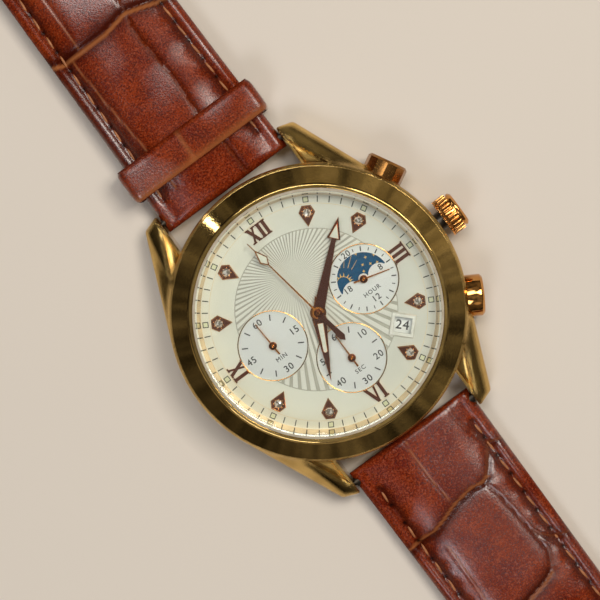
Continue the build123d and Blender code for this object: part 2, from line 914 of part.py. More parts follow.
# Main plate: carries every wheel, the pillars, the calendar land and the stem
with BuildPart() as main_plate:
    disc(centre_place, plate_bottom, plate_thickness, movement_radius)
    disc(centre_place, plate_top, plate_land_height, plate_land_outer, plate_land_inner)
    for place in pillar_places:
        disc(place, board_top, plate_bottom - board_top, pillar_radius)
        disc(place, board_top, screw_depth, screw_radius, mode=Mode.SUBTRACT)
    for place in bridge_pillar_places:
        disc(place, bridge_top, plate_bottom - bridge_top, bridge_pillar_radius)
        disc(place, bridge_top, screw_depth - bridge_thickness, screw_radius, mode=Mode.SUBTRACT)
    disc(
        centre_place, plate_bottom, plate_thickness, centre_tube_outer + running_fit, mode=Mode.SUBTRACT
    )
    for place in (seconds_place, counter_place):
        disc(place, plate_bottom, plate_thickness, long_arbor_radius + pivot_fit, mode=Mode.SUBTRACT)
    for place in (third_place, intermediate_place):
        disc(place, plate_bottom, pivot_length + running_fit, pivot_hole, mode=Mode.SUBTRACT)
    for place in (minute_wheel_place, day_intermediate_place, day_place):
        disc(
            place, plate_top - pivot_length - running_fit, plate_thickness, pivot_hole, mode=Mode.SUBTRACT
        )
    spoke(
        0.0,
        stem_start - crown_pull / 2,
        movement_radius + overrun,
        stem_radius + stem_bore_fit,
        mode=Mode.SUBTRACT,
    )
    lever_room = lever_length + crown_pull + 2 * ring_fit
    lever_room_x = groove_start - lever_length / 2 + groove_length - ring_fit
    with BuildSketch(Plane.XY.offset(plate_top)) as lever_channel:
        with Locations((lever_room_x + lever_room / 2, 0)):
            Rectangle(lever_room, lever_width + 2 * ring_fit)
    extrude(lever_channel.sketch, amount=plate_land_height, mode=Mode.SUBTRACT)
    with BuildSketch(Plane.XY.offset(stem_z)) as pin_slot:
        with Locations((groove_start + (groove_length + crown_pull) / 2, stem_radius)):
            Rectangle(groove_length + crown_pull, 2 * lever_pin_radius + ring_fit)
    extrude(pin_slot.sketch, amount=plate_thickness, mode=Mode.SUBTRACT)
finish(main_plate, "main_plate")

# Train bridge: lower bearing plate of the two trains, on two pillars
with BuildPart() as train_bridge:
    disc((bridge_x, bridge_y), bridge_bottom, bridge_thickness, bridge_radius)
    disc(
        centre_place, bridge_bottom, bridge_thickness, chrono_arbor_radius + pivot_fit, mode=Mode.SUBTRACT
    )
    for place in (third_place, intermediate_place, seconds_place, counter_place):
        disc(place, bridge_bottom, bridge_thickness, pivot_hole, mode=Mode.SUBTRACT)
    for place in bridge_pillar_places:
        disc(place, bridge_bottom, bridge_thickness, screw_radius + press_gap, mode=Mode.SUBTRACT)
finish(train_bridge, "train_bridge")

# Circuit board: thin disc on the pillars, open round the battery and the bridge screws
with BuildPart() as circuit_board:
    disc(centre_place, board_bottom, board_thickness, board_radius)
    disc(
        (battery_x, battery_y),
        board_bottom,
        board_thickness,
        battery_radius + battery_fit,
        mode=Mode.SUBTRACT,
    )
    for place in pillar_places:
        disc(place, board_bottom, board_thickness, screw_radius + press_gap, mode=Mode.SUBTRACT)
    for place in bridge_pillar_places:
        disc(place, board_bottom, board_thickness, screw_head_radius + ring_fit, mode=Mode.SUBTRACT)
finish(circuit_board, "circuit_board")


def movement_screw(place, seat):
    """Slotted screw driven upwards, its head below the seat."""
    disc(place, seat - screw_head_height, screw_head_height, screw_head_radius)
    disc(place, seat, screw_depth, screw_radius - press_gap)
    with BuildSketch(Plane.XY.offset(seat - screw_head_height)) as slot:
        with Locations(place):
            Rectangle(2 * screw_head_radius, screw_slot_width)
    extrude(slot.sketch, amount=screw_slot_depth, mode=Mode.SUBTRACT)


# Movement screws: five through the board, two through the bridge
with BuildPart() as movement_screws:
    for place in pillar_places:
        movement_screw(place, board_bottom)
    for place in bridge_pillar_places:
        movement_screw(place, bridge_bottom)
finish(movement_screws, "movement_screws")

# Battery: button cell with its smaller cap towards the plate
with BuildPart() as battery:
    disc((battery_x, battery_y), battery_bottom, battery_height - battery_cap_height, battery_radius)
    disc(
        (battery_x, battery_y),
        battery_bottom + battery_height - battery_cap_height,
        battery_cap_height,
        battery_cap_radius,
    )
finish(battery, "battery")

coil_z = board_top + coil_flange_radius
stator_bottom = plate_bottom - stator_thickness


def coil_plane(x, y, degrees):
    """Plane square to a coil's axis, through its middle."""
    along = polar(1.0, degrees)
    return Plane(origin=(x, y, coil_z), x_dir=(-along[1], along[0], 0), z_dir=(along[0], along[1], 0))


# Motor coils: a winding between two end flanges for each stepping motor
with BuildPart() as motor_coils:
    for coil_x, coil_y, coil_degrees in coil_places:
        across = coil_plane(coil_x, coil_y, coil_degrees)
        with BuildSketch(across) as winding:
            Circle(coil_radius)
        extrude(winding.sketch, amount=coil_length / 2, both=True)
        for end in (-1, 1):
            with BuildSketch(across.offset(end * coil_length / 2)) as flange:
                Circle(coil_flange_radius)
            extrude(flange.sketch, amount=end * coil_flange_thickness)
finish(motor_coils, "motor_coils")

# Motor stators: soft iron plate beside each coil with a post at either end of it
with BuildPart() as motor_stators:
    for coil_x, coil_y, coil_degrees in coil_places:
        along = polar(1.0, coil_degrees)
        inward = -1 if coil_x * -along[1] + coil_y * along[0] > 0 else 1
        face = Plane(origin=(coil_x, coil_y, stator_bottom), x_dir=(along[0], along[1], 0))
        reach = coil_end_reach + stator_post_width
        with BuildSketch(face) as yoke:
            with Locations((0, inward * stator_reach)):
                Rectangle(2 * reach, stator_bar_width)
                Circle(stator_rotor_hole, mode=Mode.SUBTRACT)
            for end in (-1, 1):
                with Locations((end * (reach - stator_post_width / 2), inward * stator_reach / 2)):
                    Rectangle(stator_post_width, stator_reach)
        extrude(yoke.sketch, amount=stator_thickness)
        with BuildSketch(face) as posts:
            with Locations(
                ((reach - stator_post_width / 2), 0),
                ((stator_post_width / 2 - reach), 0),
            ):
                Rectangle(stator_post_width, 2 * coil_radius)
        extrude(posts.sketch, amount=stator_thickness)
        extrude(posts.sketch, amount=board_top - stator_bottom)
finish(motor_stators, "motor_stators")

# Going train, from the minute arbor down to the small seconds
centre_wheel_degrees = 0.0
third_pinion_degrees = meshed(
    centre_place, centre_teeth, centre_wheel_degrees, third_place, third_pinion_teeth
)
seconds_pinion_degrees = meshed(third_place, third_teeth, 0.0, seconds_place, seconds_pinion_teeth)
pinion_overlap = (pinion_thickness - wheel_thickness) / 2

with BuildPart() as centre_wheel:
    gear(
        centre_place,
        centre_wheel_bottom,
        wheel_thickness,
        centre_teeth,
        going_module,
        centre_wheel_degrees,
        centre_tube_inner,
    )
    tube_foot = centre_wheel_bottom - pinion_overlap
    disc(centre_place, tube_foot, minute_hand_bottom - tube_foot, centre_tube_outer, centre_tube_inner)
finish(centre_wheel, "centre_wheel")

with BuildPart() as third_wheel:
    gear(third_place, third_wheel_bottom, wheel_thickness, third_teeth, third_module, 0.0, 0.0)
    gear(
        third_place,
        centre_wheel_bottom - pinion_overlap,
        pinion_thickness,
        third_pinion_teeth,
        going_module,
        third_pinion_degrees,
        0.0,
    )
    arbor(third_place, arbor_foot, plate_bottom + pivot_length, train_arbor_radius)
finish(third_wheel, "third_wheel")

small_hand_top = small_hand_bottom + hand_thickness
with BuildPart() as small_seconds_wheel:
    gear(
        seconds_place,
        third_wheel_bottom - pinion_overlap,
        pinion_thickness,
        seconds_pinion_teeth,
        third_module,
        seconds_pinion_degrees,
        0.0,
    )
    gear(
        seconds_place, intermediate_bottom, wheel_thickness, seconds_wheel_teeth, chrono_module, 0.0, 0.0
    )
    disc(seconds_place, arbor_foot, bridge_thickness, pivot_radius)
    disc(seconds_place, bridge_top + pivot_fit, small_hand_top - bridge_top, long_arbor_radius)
finish(small_seconds_wheel, "small_seconds_wheel")

# Motion works under the dial, from the cannon pinion to the hour wheel
minute_wheel_degrees = meshed(
    centre_place, cannon_teeth, 0.0, minute_wheel_place, minute_wheel_teeth
)
hour_wheel_degrees = meshed(minute_wheel_place, minute_pinion_teeth, 0.0, centre_place, hour_teeth)
day_intermediate_degrees = meshed(
    centre_place, hour_teeth, hour_wheel_degrees, day_intermediate_place, day_intermediate_teeth
)
day_wheel_degrees = meshed(
    day_intermediate_place, day_intermediate_pinion_teeth, 0.0, day_place, day_teeth
)

with BuildPart() as cannon_pinion:
    gear(
        centre_place,
        cannon_leaf_bottom,
        cannon_leaf_height,
        cannon_teeth,
        motion_module,
        0.0,
        centre_tube_outer,
    )
    disc(
        centre_place,
        plate_top + running_fit,
        minute_hand_bottom - plate_top - running_fit,
        cannon_outer,
        centre_tube_outer,
    )
finish(cannon_pinion, "cannon_pinion")

with BuildPart() as minute_wheel:
    gear(
        minute_wheel_place,
        cannon_leaf_bottom,
        cannon_leaf_height - running_fit,
        minute_wheel_teeth,
        motion_module,
        minute_wheel_degrees,
        0.0,
    )
    pinion_foot = cannon_leaf_bottom + cannon_leaf_height - running_fit
    gear(
        minute_wheel_place,
        pinion_foot,
        minute_pinion_height,
        minute_pinion_teeth,
        motion_module,
        0.0,
        0.0,
    )
    disc(minute_wheel_place, plate_top - pivot_length, plate_thickness, pivot_radius)
finish(minute_wheel, "minute_wheel")

with BuildPart() as hour_wheel:
    gear(
        centre_place,
        hour_wheel_bottom,
        hour_wheel_thickness,
        hour_teeth,
        motion_module,
        hour_wheel_degrees,
        hour_tube_inner,
    )
    disc(
        centre_place,
        hour_wheel_bottom,
        hour_hand_bottom + hand_thickness - hour_wheel_bottom,
        hour_tube_outer,
        hour_tube_inner,
    )
finish(hour_wheel, "hour_wheel")

# Day train: the hour wheel turns the 24-hour wheel through one intermediate wheel
with BuildPart() as day_intermediate_wheel:
    gear(
        day_intermediate_place,
        hour_wheel_bottom,
        hour_wheel_thickness,
        day_intermediate_teeth,
        motion_module,
        day_intermediate_degrees,
        0.0,
    )
    gear(
        day_intermediate_place,
        hour_wheel_bottom + hour_wheel_thickness,
        disc_bottom - hour_wheel_bottom - hour_wheel_thickness,
        day_intermediate_pinion_teeth,
        motion_module,
        0.0,
        0.0,
    )
    day_arbor_foot = plate_top - pivot_length
    disc(day_intermediate_place, day_arbor_foot, disc_bottom - day_arbor_foot, pivot_radius)
    collar_height = hour_wheel_bottom - plate_top - running_fit
    disc(day_intermediate_place, plate_top + running_fit, collar_height, hub_collar)
finish(day_intermediate_wheel, "day_intermediate_wheel")

with BuildPart() as day_wheel:
    gear(
        day_place,
        day_wheel_bottom,
        wheel_thickness,
        day_teeth,
        motion_module,
        day_wheel_degrees,
        0.0,
    )
    disc(day_place, day_arbor_foot, pivot_length, pivot_radius)
    disc(day_place, plate_top, small_hand_top - plate_top, long_arbor_radius)
finish(day_wheel, "day_wheel")

# Sun and stars disc, carried by the 24-hour wheel
with BuildPart() as sun_star_disc:
    disc(day_place, disc_bottom, disc_thickness, disc_radius, long_arbor_radius)
finish(sun_star_disc, "sun_star_disc")

# Date finger under the 24-hour wheel, and the date ring it drives
finger_reach = date_ring_inner - date_tooth_height - subdial_distance - finger_gap
with BuildPart() as date_finger:
    disc(day_place, date_ring_bottom, finger_thickness, small_hand_hub, long_arbor_radius)
    slab(
        Plane.XY.offset(date_ring_bottom),
        (
            (subdial_distance, -finger_width / 2),
            (subdial_distance - finger_reach, -finger_width / 2),
            (subdial_distance - finger_reach, finger_width / 2),
            (subdial_distance, finger_width / 2),
        ),
        finger_thickness,
    )
    disc(day_place, date_ring_bottom, finger_thickness, long_arbor_radius, mode=Mode.SUBTRACT)
finish(date_finger, "date_finger")

with BuildPart() as date_ring:
    disc(centre_place, date_ring_bottom, date_ring_thickness, date_ring_outer, date_ring_inner)
    with BuildSketch(Plane.XY.offset(date_ring_bottom)) as ring_teeth:
        with PolarLocations(date_ring_inner, date_teeth):
            Rectangle(2 * date_tooth_height, date_tooth_width)
    extrude(ring_teeth.sketch, amount=date_ring_thickness)
finish(date_ring, "date_ring")

# Chronograph centre arbor and the counter train
counter_intermediate_degrees = meshed(
    centre_place, chrono_pinion_teeth, 0.0, intermediate_place, counter_intermediate_teeth
)
counter_wheel_degrees = meshed(
    intermediate_place, counter_pinion_teeth, 0.0, counter_place, counter_teeth
)
with BuildPart() as chrono_arbor:
    gear(
        centre_place,
        intermediate_bottom - pinion_overlap,
        pinion_thickness,
        chrono_pinion_teeth,
        chrono_module,
        0.0,
        0.0,
    )
    disc(centre_place, arbor_foot, seconds_hand_bottom - arbor_foot, chrono_arbor_radius)
finish(chrono_arbor, "chrono_arbor")

with BuildPart() as counter_intermediate_wheel:
    gear(
        intermediate_place,
        intermediate_bottom,
        wheel_thickness,
        counter_intermediate_teeth,
        chrono_module,
        counter_intermediate_degrees,
        0.0,
    )
    gear(
        intermediate_place,
        counter_wheel_bottom - pinion_overlap,
        pinion_thickness,
        counter_pinion_teeth,
        counter_module,
        0.0,
        0.0,
    )
    disc(intermediate_place, arbor_foot, bridge_thickness, pivot_radius)
    wheel_arbor_foot = bridge_top + pivot_fit
    disc(
        intermediate_place,
        wheel_arbor_foot,
        plate_bottom - pivot_fit - wheel_arbor_foot,
        train_arbor_radius,
    )
    disc(intermediate_place, plate_bottom - pivot_fit, pivot_length, pivot_radius)
finish(counter_intermediate_wheel, "counter_intermediate_wheel")

with BuildPart() as minute_counter_wheel:
    gear(
        counter_place,
        counter_wheel_bottom,
        wheel_thickness,
        counter_teeth,
        counter_module,
        counter_wheel_degrees,
        0.0,
    )
    disc(counter_place, arbor_foot, bridge_thickness, pivot_radius)
    disc(counter_place, bridge_top + pivot_fit, small_hand_top - bridge_top, long_arbor_radius)
finish(minute_counter_wheel, "minute_counter_wheel")


def hand_plane(bottom, degrees, place=(0.0, 0.0)):
    """Plane on which a hand points along its own +Y, turned clockwise from 12 o'clock."""
    return Plane(origin=(place[0], place[1], bottom)).rotated((0, 0, -degrees))


# Hour hand: leaf with a slot for the luminous filling
with BuildPart() as hour_hand:
    hour_plane = hand_plane(hour_hand_bottom, hour_rest_degrees)
    slab(
        hour_plane,
        (
            (0, hour_hand_length),
            (hour_hand_width / 2, hour_hand_widest),
            (0, -hour_hand_tail),
            (-hour_hand_width / 2, hour_hand_widest),
        ),
        hand_thickness,
    )
    disc(centre_place, hour_hand_bottom, hand_thickness, hour_hand_hub)
    disc(centre_place, hour_hand_bottom, hand_thickness, hour_tube_outer, mode=Mode.SUBTRACT)
    slab(
        hour_plane,
        (
            (-hour_slot_root_width / 2, hour_slot_start),
            (hour_slot_root_width / 2, hour_slot_start),
            (hour_slot_width / 2, hour_slot_end),
            (-hour_slot_width / 2, hour_slot_end),
        ),
        hand_thickness,
        mode=Mode.SUBTRACT,
    )
    with BuildSketch(hour_plane) as slot_end:
        with Locations((0, hour_slot_end)):
            Circle(hour_slot_width / 2)
    extrude(slot_end.sketch, amount=hand_thickness, mode=Mode.SUBTRACT)
finish(hour_hand, "hour_hand")

# Minute hand: tapered blade with an open arrow for the luminous filling
arrow_length = minute_hand_length - arrow_start
arrow_inset = arrow_border * 2
with BuildPart() as minute_hand:
    minute_plane = hand_plane(minute_hand_bottom, minute_rest_degrees)
    slab(
        minute_plane,
        (
            (minute_hand_neck_width / 2, arrow_start + arrow_border),
            (minute_hand_root_width / 2, 0),
            (0, -minute_hand_tail),
            (-minute_hand_root_width / 2, 0),
            (-minute_hand_neck_width / 2, arrow_start + arrow_border),
        ),
        hand_thickness,
    )
    slab(
        minute_plane,
        ((-arrow_width / 2, arrow_start), (arrow_width / 2, arrow_start), (0, minute_hand_length)),
        hand_thickness,
    )
    disc(centre_place, minute_hand_bottom, hand_thickness, minute_hand_hub)
    slab(
        minute_plane,
        (
            (arrow_inset - arrow_width / 2, arrow_start + arrow_border),
            (arrow_width / 2 - arrow_inset, arrow_start + arrow_border),
            (0, minute_hand_length - arrow_length * arrow_inset * 2 / arrow_width),
        ),
        hand_thickness,
        mode=Mode.SUBTRACT,
    )
    disc(
        centre_place,
        minute_hand_bottom,
        hand_thickness,
        chrono_arbor_radius + running_fit,
        mode=Mode.SUBTRACT,
    )
finish(minute_hand, "minute_hand")

# Chronograph seconds hand: needle with an open lozenge and a broad tail
with BuildPart() as seconds_hand:
    seconds_plane = hand_plane(seconds_hand_bottom, seconds_rest_degrees)
    slab(
        seconds_plane,
        (
            (-seconds_hand_width / 2, 0),
            (seconds_hand_width / 2, 0),
            (seconds_hand_width / 4, seconds_hand_length),
            (-seconds_hand_width / 4, seconds_hand_length),
        ),
        hand_thickness,
    )
    slab(
        seconds_plane,
        (
            (0, lozenge_start),
            (lozenge_width / 2, lozenge_widest),
            (0, lozenge_end),
            (-lozenge_width / 2, lozenge_widest),
        ),
        hand_thickness,
    )
    slab(
        seconds_plane,
        (
            (0, lozenge_start + 2 * lozenge_border),
            (lozenge_width / 2 - lozenge_border, lozenge_widest),
            (0, lozenge_end - 3 * lozenge_border),
            (lozenge_border - lozenge_width / 2, lozenge_widest),
        ),
        hand_thickness,
        mode=Mode.SUBTRACT,
    )
    slab(
        seconds_plane,
        (
            (-seconds_tail_root_width / 2, 0),
            (seconds_tail_root_width / 2, 0),
            (seconds_tail_width / 2, seconds_tail_point - seconds_hand_tail),
            (0, -seconds_hand_tail),
            (-seconds_tail_width / 2, seconds_tail_point - seconds_hand_tail),
        ),
        hand_thickness,
    )
    disc(centre_place, seconds_hand_bottom, hand_thickness, seconds_hub)
    disc(centre_place, seconds_hand_bottom, hand_thickness + small_hand_cap, seconds_boss)
finish(seconds_hand, "chrono_seconds_hand")


def small_hand(place, degrees, label):
    """Needle of a sub-dial with a round boss, pressed on its arbor."""
    with BuildPart() as needle:
        slab(
            hand_plane(small_hand_bottom, degrees, place),
            (
                (-small_hand_width / 2, -small_hand_tail),
                (small_hand_width / 2, -small_hand_tail),
                (small_hand_width / 4, small_hand_length),
                (-small_hand_width / 4, small_hand_length),
            ),
            hand_thickness,
        )
        disc(place, small_hand_bottom, hand_thickness + small_hand_cap, small_hand_hub)
        disc(place, small_hand_bottom, hand_thickness, long_arbor_radius, mode=Mode.SUBTRACT)
    finish(needle, label)


small_hand(seconds_place, small_seconds_rest_degrees, "small_seconds_hand")
small_hand(counter_place, counter_rest_degrees, "minute_counter_hand")
small_hand(day_place, day_rest_degrees, "day_hand")

# Crown tube: fixed sleeve that the stem slides and turns in
with BuildPart() as crown_tube:
    spoke(
        0.0,
        bore_radius,
        crown_tube_end,
        crown_tube_radius - press_gap,
        stem_radius + running_fit,
    )
finish(crown_tube, "crown_tube")

# Setting lever: plate on the dial side with a pin in the stem's groove
with BuildPart() as setting_lever:
    lever_bottom = plate_top + lever_lift
    with BuildSketch(Plane.XY.offset(lever_bottom)) as lever_plate:
        with Locations((groove_start + groove_length / 2, 0)):
            Rectangle(lever_length, lever_width)
    extrude(lever_plate.sketch, amount=lever_thickness)
    disc(
        (groove_start + groove_length / 2, stem_radius),
        stem_z,
        lever_bottom - stem_z,
        lever_pin_radius - press_gap,
    )
finish(setting_lever, "setting_lever")

crown_grip_end = crown_start + crown_grip_length
crown_groove_end = crown_grip_end + crown_groove_length
crown_end = crown_groove_end + crown_cap_length
crown_floor = crown_start + crown_recess_length

# Crown stem: rod with a groove for the lever
with BuildPart() as crown_stem:
    spoke(0.0, stem_start, crown_floor + crown_stem_seat, stem_radius)
    spoke(
        0.0,
        groove_start,
        groove_start + groove_length,
        stem_radius + overrun,
        groove_radius,
        mode=Mode.SUBTRACT,
    )
finish(crown_stem, "crown_stem")

# Crown: fluted grip, a groove and a smooth cap
with BuildPart() as crown:
    with BuildSketch(radial_plane(0.0, crown_start)) as grip:
        Circle(crown_radius)
        with PolarLocations(crown_radius, crown_flutes):
            Circle(crown_flute_radius, mode=Mode.SUBTRACT)
    extrude(grip.sketch, amount=crown_grip_length)
    spoke(0.0, crown_grip_end, crown_groove_end, crown_groove_radius)
    spoke(0.0, crown_groove_end, crown_end, crown_cap_radius)
    chamfer(crown.edges().group_by(Axis.X)[-1], length=crown_cap_edge)
    spoke(0.0, crown_start, crown_floor, crown_tube_radius + running_fit, mode=Mode.SUBTRACT)
    spoke(0.0, crown_floor, crown_floor + crown_stem_seat, stem_radius, mode=Mode.SUBTRACT)
finish(crown, "crown")

# Pusher tubes: sleeves through the case wall
with BuildPart() as pusher_tubes:
    for angle in (start_pusher_degrees, reset_pusher_degrees):
        spoke(
            angle,
            bore_radius,
            pusher_pocket_floor,
            pusher_tube_radius - press_gap,
            pusher_stem_radius + running_fit,
        )
finish(pusher_tubes, "pusher_tubes")


def pusher(degrees, facets, label):
    """Push button: capped head with a spring cavity and a stem into the movement."""
    out = polar(1.0, degrees)
    with BuildPart() as button:
        spoke(degrees, pusher_start, pusher_end, pusher_radius)
        outward = Axis(origin=(0, 0, stem_z), direction=(out[0], out[1], 0))
        chamfer(button.edges().group_by(outward)[-1], length=pusher_edge)
        if facets:
            with BuildSketch(radial_plane(degrees, case_radius)) as facet_ring:
                Circle(pusher_radius + overrun)
                RegularPolygon(
                    pusher_radius - pusher_facet_depth,
                    pusher_facets,
                    major_radius=False,
                    mode=Mode.SUBTRACT,
                )
            extrude(facet_ring.sketch, amount=pusher_end - case_radius - pusher_edge, mode=Mode.SUBTRACT)
        spoke(
            degrees,
            pusher_start,
            pusher_start + pusher_cavity_depth,
            pusher_cavity_radius,
            mode=Mode.SUBTRACT,
        )
        spoke(degrees, pusher_stem_start, pusher_start + pusher_cavity_depth, pusher_stem_radius)
    finish(button, label)


pusher(start_pusher_degrees, True, "start_pusher")
pusher(reset_pusher_degrees, False, "reset_pusher")


def pusher_spring(degrees, label):
    """Compression spring round the pusher's stem, standing on the pocket's floor."""
    start = pusher_pocket_floor + spring_gap + spring_wire_radius
    base = radial_plane(degrees, start)
    with BuildPart() as spring:
        with BuildLine() as coil:
            Helix(
                spring_length / spring_turns,
                spring_length,
                spring_coil_radius,
                center=base.origin,
                direction=base.z_dir,
            )
        with BuildSketch(Plane(origin=coil.line @ 0, z_dir=coil.line % 0)) as wire:
            Circle(spring_wire_radius)
        sweep(wire.sketch, path=coil.line)
    finish(spring, label)


pusher_spring(start_pusher_degrees, "start_pusher_spring")
pusher_spring(reset_pusher_degrees, "reset_pusher_spring")


def strap_half_width(distance, end):
    """Half width of a strap at a distance from the case centre, tapering from the lugs."""
    share = (distance - bar_y) / (end - bar_y)
    return (strap_width + (strap_end_width - strap_width) * share) / 2


def strap_plan(side, end, bottom, height):
    """Tapered outline of a strap seen from above, to be kept by intersection."""
    near = bar_y - strap_loop_radius - overrun
    far = end + strap_loop_radius + overrun
    near_half = strap_half_width(near, end)
    far_half = strap_half_width(far, end)
    points = (
        (-near_half, side * near),
        (near_half, side * near),
        (far_half, side * far),
        (-far_half, side * far),
    )
    slab(Plane.XY.offset(bottom), points, height, mode=Mode.INTERSECT)


lining_end = buckle_strap_end - tang_slot_length
buckle_lining_top = buckle_strap_bottom + strap_lining
buckle_strap_top = buckle_strap_bottom + buckle_strap_height
tang_slot_middle = buckle_strap_end + (strap_loop_radius - tang_slot_length) / 2
tang_slot_reach = tang_slot_length + strap_loop_radius

# Buckle strap: padded upper looped round the spring bar and the buckle bar
with BuildPart() as buckle_strap:
    slab(
        Plane.YZ,
        (
            (bar_y, bar_z - strap_loop_radius),
            (strap_start, buckle_lining_top),
            (lining_end, buckle_lining_top),
            (buckle_strap_end, buckle_bar_z - strap_loop_radius),
            (buckle_strap_end, buckle_bar_z + strap_loop_radius),
            (lining_end, buckle_strap_bottom + buckle_strap_end_height),
            (strap_full_y, buckle_strap_top),
            (bar_y, bar_z + strap_loop_radius),
        ),
        strap_width / 2,
    )
    mirror(about=Plane.YZ)
    with BuildSketch(Plane.YZ) as strap_loops:
        with Locations((bar_y, bar_z), (buckle_strap_end, buckle_bar_z)):
            Circle(strap_loop_radius)
    extrude(strap_loops.sketch, amount=strap_width / 2, both=True)
    strap_plan(1, buckle_strap_end, 0, buckle_strap_top + overrun)
    with BuildSketch(Plane.YZ) as strap_bores:
        with Locations((bar_y, bar_z)):
            Circle(bar_radius + running_fit)
        with Locations((buckle_strap_end, buckle_bar_z)):
            Circle(buckle_bar_radius + running_fit)
    extrude(strap_bores.sketch, amount=strap_width, both=True, mode=Mode.SUBTRACT)
    with BuildSketch(Plane.XY) as tang_slot:
        with Locations((0, tang_slot_middle)):
            Rectangle(tang_slot_width, tang_slot_reach)
    extrude(tang_slot.sketch, amount=buckle_strap_top, mode=Mode.SUBTRACT)
finish(buckle_strap, "buckle_strap")

# Buckle strap lining: flat skin under the upper
with BuildPart() as buckle_strap_lining:
    lining_half = strap_half_width(strap_start, buckle_strap_end)
    lining_end_half = strap_half_width(lining_end, buckle_strap_end)
    slab(
        Plane.XY.offset(buckle_strap_bottom),
        (
            (-lining_half, strap_start),
            (lining_half, strap_start),
            (lining_end_half, lining_end),
            (-lining_end_half, lining_end),
        ),
        strap_lining,
    )
finish(buckle_strap_lining, "buckle_strap_lining")


def keeper(middle_y, half_width, roof, label):
    """Closed leather band round the strap."""
    inner_width = 2 * (half_width + keeper_side_gap)
    inner_height = roof + keeper_roof_gap - keeper_thickness
    inner_middle = keeper_thickness + inner_height / 2
    start = Plane.XZ.offset(-(middle_y - keeper_length / 2))
    with BuildPart() as band:
        with BuildSketch(start) as section:
            with Locations((0, inner_middle)):
                RectangleRounded(
                    inner_width + 2 * keeper_thickness,
                    inner_height + 2 * keeper_thickness,
                    keeper_corner,
                )
                Rectangle(inner_width, inner_height, mode=Mode.SUBTRACT)
        extrude(section.sketch, amount=-keeper_length)
    finish(band, label)


free_keeper_half = strap_half_width(free_keeper_y - keeper_length / 2, buckle_strap_end)
keeper(free_keeper_y, free_keeper_half, buckle_strap_top, "free_keeper")
fixed_keeper_share = (fixed_keeper_y - keeper_length / 2 - strap_full_y) / (lining_end - strap_full_y)
fixed_keeper_roof = buckle_strap_top - fixed_keeper_share * (buckle_strap_height - buckle_strap_end_height)
fixed_keeper_half = strap_half_width(fixed_keeper_y - keeper_length / 2, buckle_strap_end)
keeper(fixed_keeper_y, fixed_keeper_half, fixed_keeper_roof, "fixed_keeper")

hole_places = [
    (0, -(strap_hole_first + step * strap_hole_pitch)) for step in range(strap_hole_count)
]


def hole_strap_tip(bottom, height):
    """Pointed end and row of buckle holes of the long strap."""
    shoulder = -(hole_strap_end - strap_point_length)
    tip = -hole_strap_end
    half = strap_half_width(hole_strap_end, hole_strap_end)
    for side in (-1, 1):
        points = (
            (side * (half + overrun), shoulder),
            (side * half, shoulder),
            (side * strap_point_width / 2, tip),
            (side * strap_point_width / 2, tip - overrun),
            (side * (half + overrun), tip - overrun),
        )
        slab(Plane.XY.offset(bottom), points, height, mode=Mode.SUBTRACT)
    for place in hole_places:
        disc(place, bottom, height, strap_hole_radius, mode=Mode.SUBTRACT)


# Hole strap: long padded upper with the buckle holes, looped round its spring bar
with BuildPart() as hole_strap:
    slab(
        Plane.YZ,
        (
            (-bar_y, bar_z - strap_loop_radius),
            (-hole_strap_flat_y, strap_lining),
            (-hole_strap_end, strap_lining),
            (-hole_strap_end, hole_strap_end_height),
            (-strap_full_y, hole_strap_height),
            (-bar_y, bar_z + strap_loop_radius),
        ),
        strap_width / 2,
    )
    mirror(about=Plane.YZ)
    with BuildSketch(Plane.YZ) as hole_strap_loop:
        with Locations((-bar_y, bar_z)):
            Circle(strap_loop_radius)
    extrude(hole_strap_loop.sketch, amount=strap_width / 2, both=True)
    strap_plan(-1, hole_strap_end, 0, hole_strap_height + overrun)
    with BuildSketch(Plane.YZ) as hole_strap_bore:
        with Locations((-bar_y, bar_z)):
            Circle(bar_radius + running_fit)
    extrude(hole_strap_bore.sketch, amount=strap_width, both=True, mode=Mode.SUBTRACT)
    hole_strap_tip(0, hole_strap_height)
finish(hole_strap, "hole_strap")

# Hole strap lining: flat skin under the upper, on the table
with BuildPart() as hole_strap_lining:
    hole_lining_half = strap_half_width(hole_strap_flat_y, hole_strap_end)
    hole_lining_end_half = strap_half_width(hole_strap_end, hole_strap_end)
    slab(
        Plane.XY,
        (
            (-hole_lining_half, -hole_strap_flat_y),
            (hole_lining_half, -hole_strap_flat_y),
            (hole_lining_end_half, -hole_strap_end),
            (-hole_lining_end_half, -hole_strap_end),
        ),
        strap_lining,
    )
    hole_strap_tip(0, strap_lining)
finish(hole_strap_lining, "hole_strap_lining")

buckle_outer_half = buckle_inner_width / 2 + buckle_arm_width
buckle_bottom = buckle_bar_z - buckle_height / 2
buckle_top = buckle_bar_z + buckle_height / 2
buckle_end = buckle_strap_end + buckle_length
buckle_start = buckle_strap_end - buckle_heel

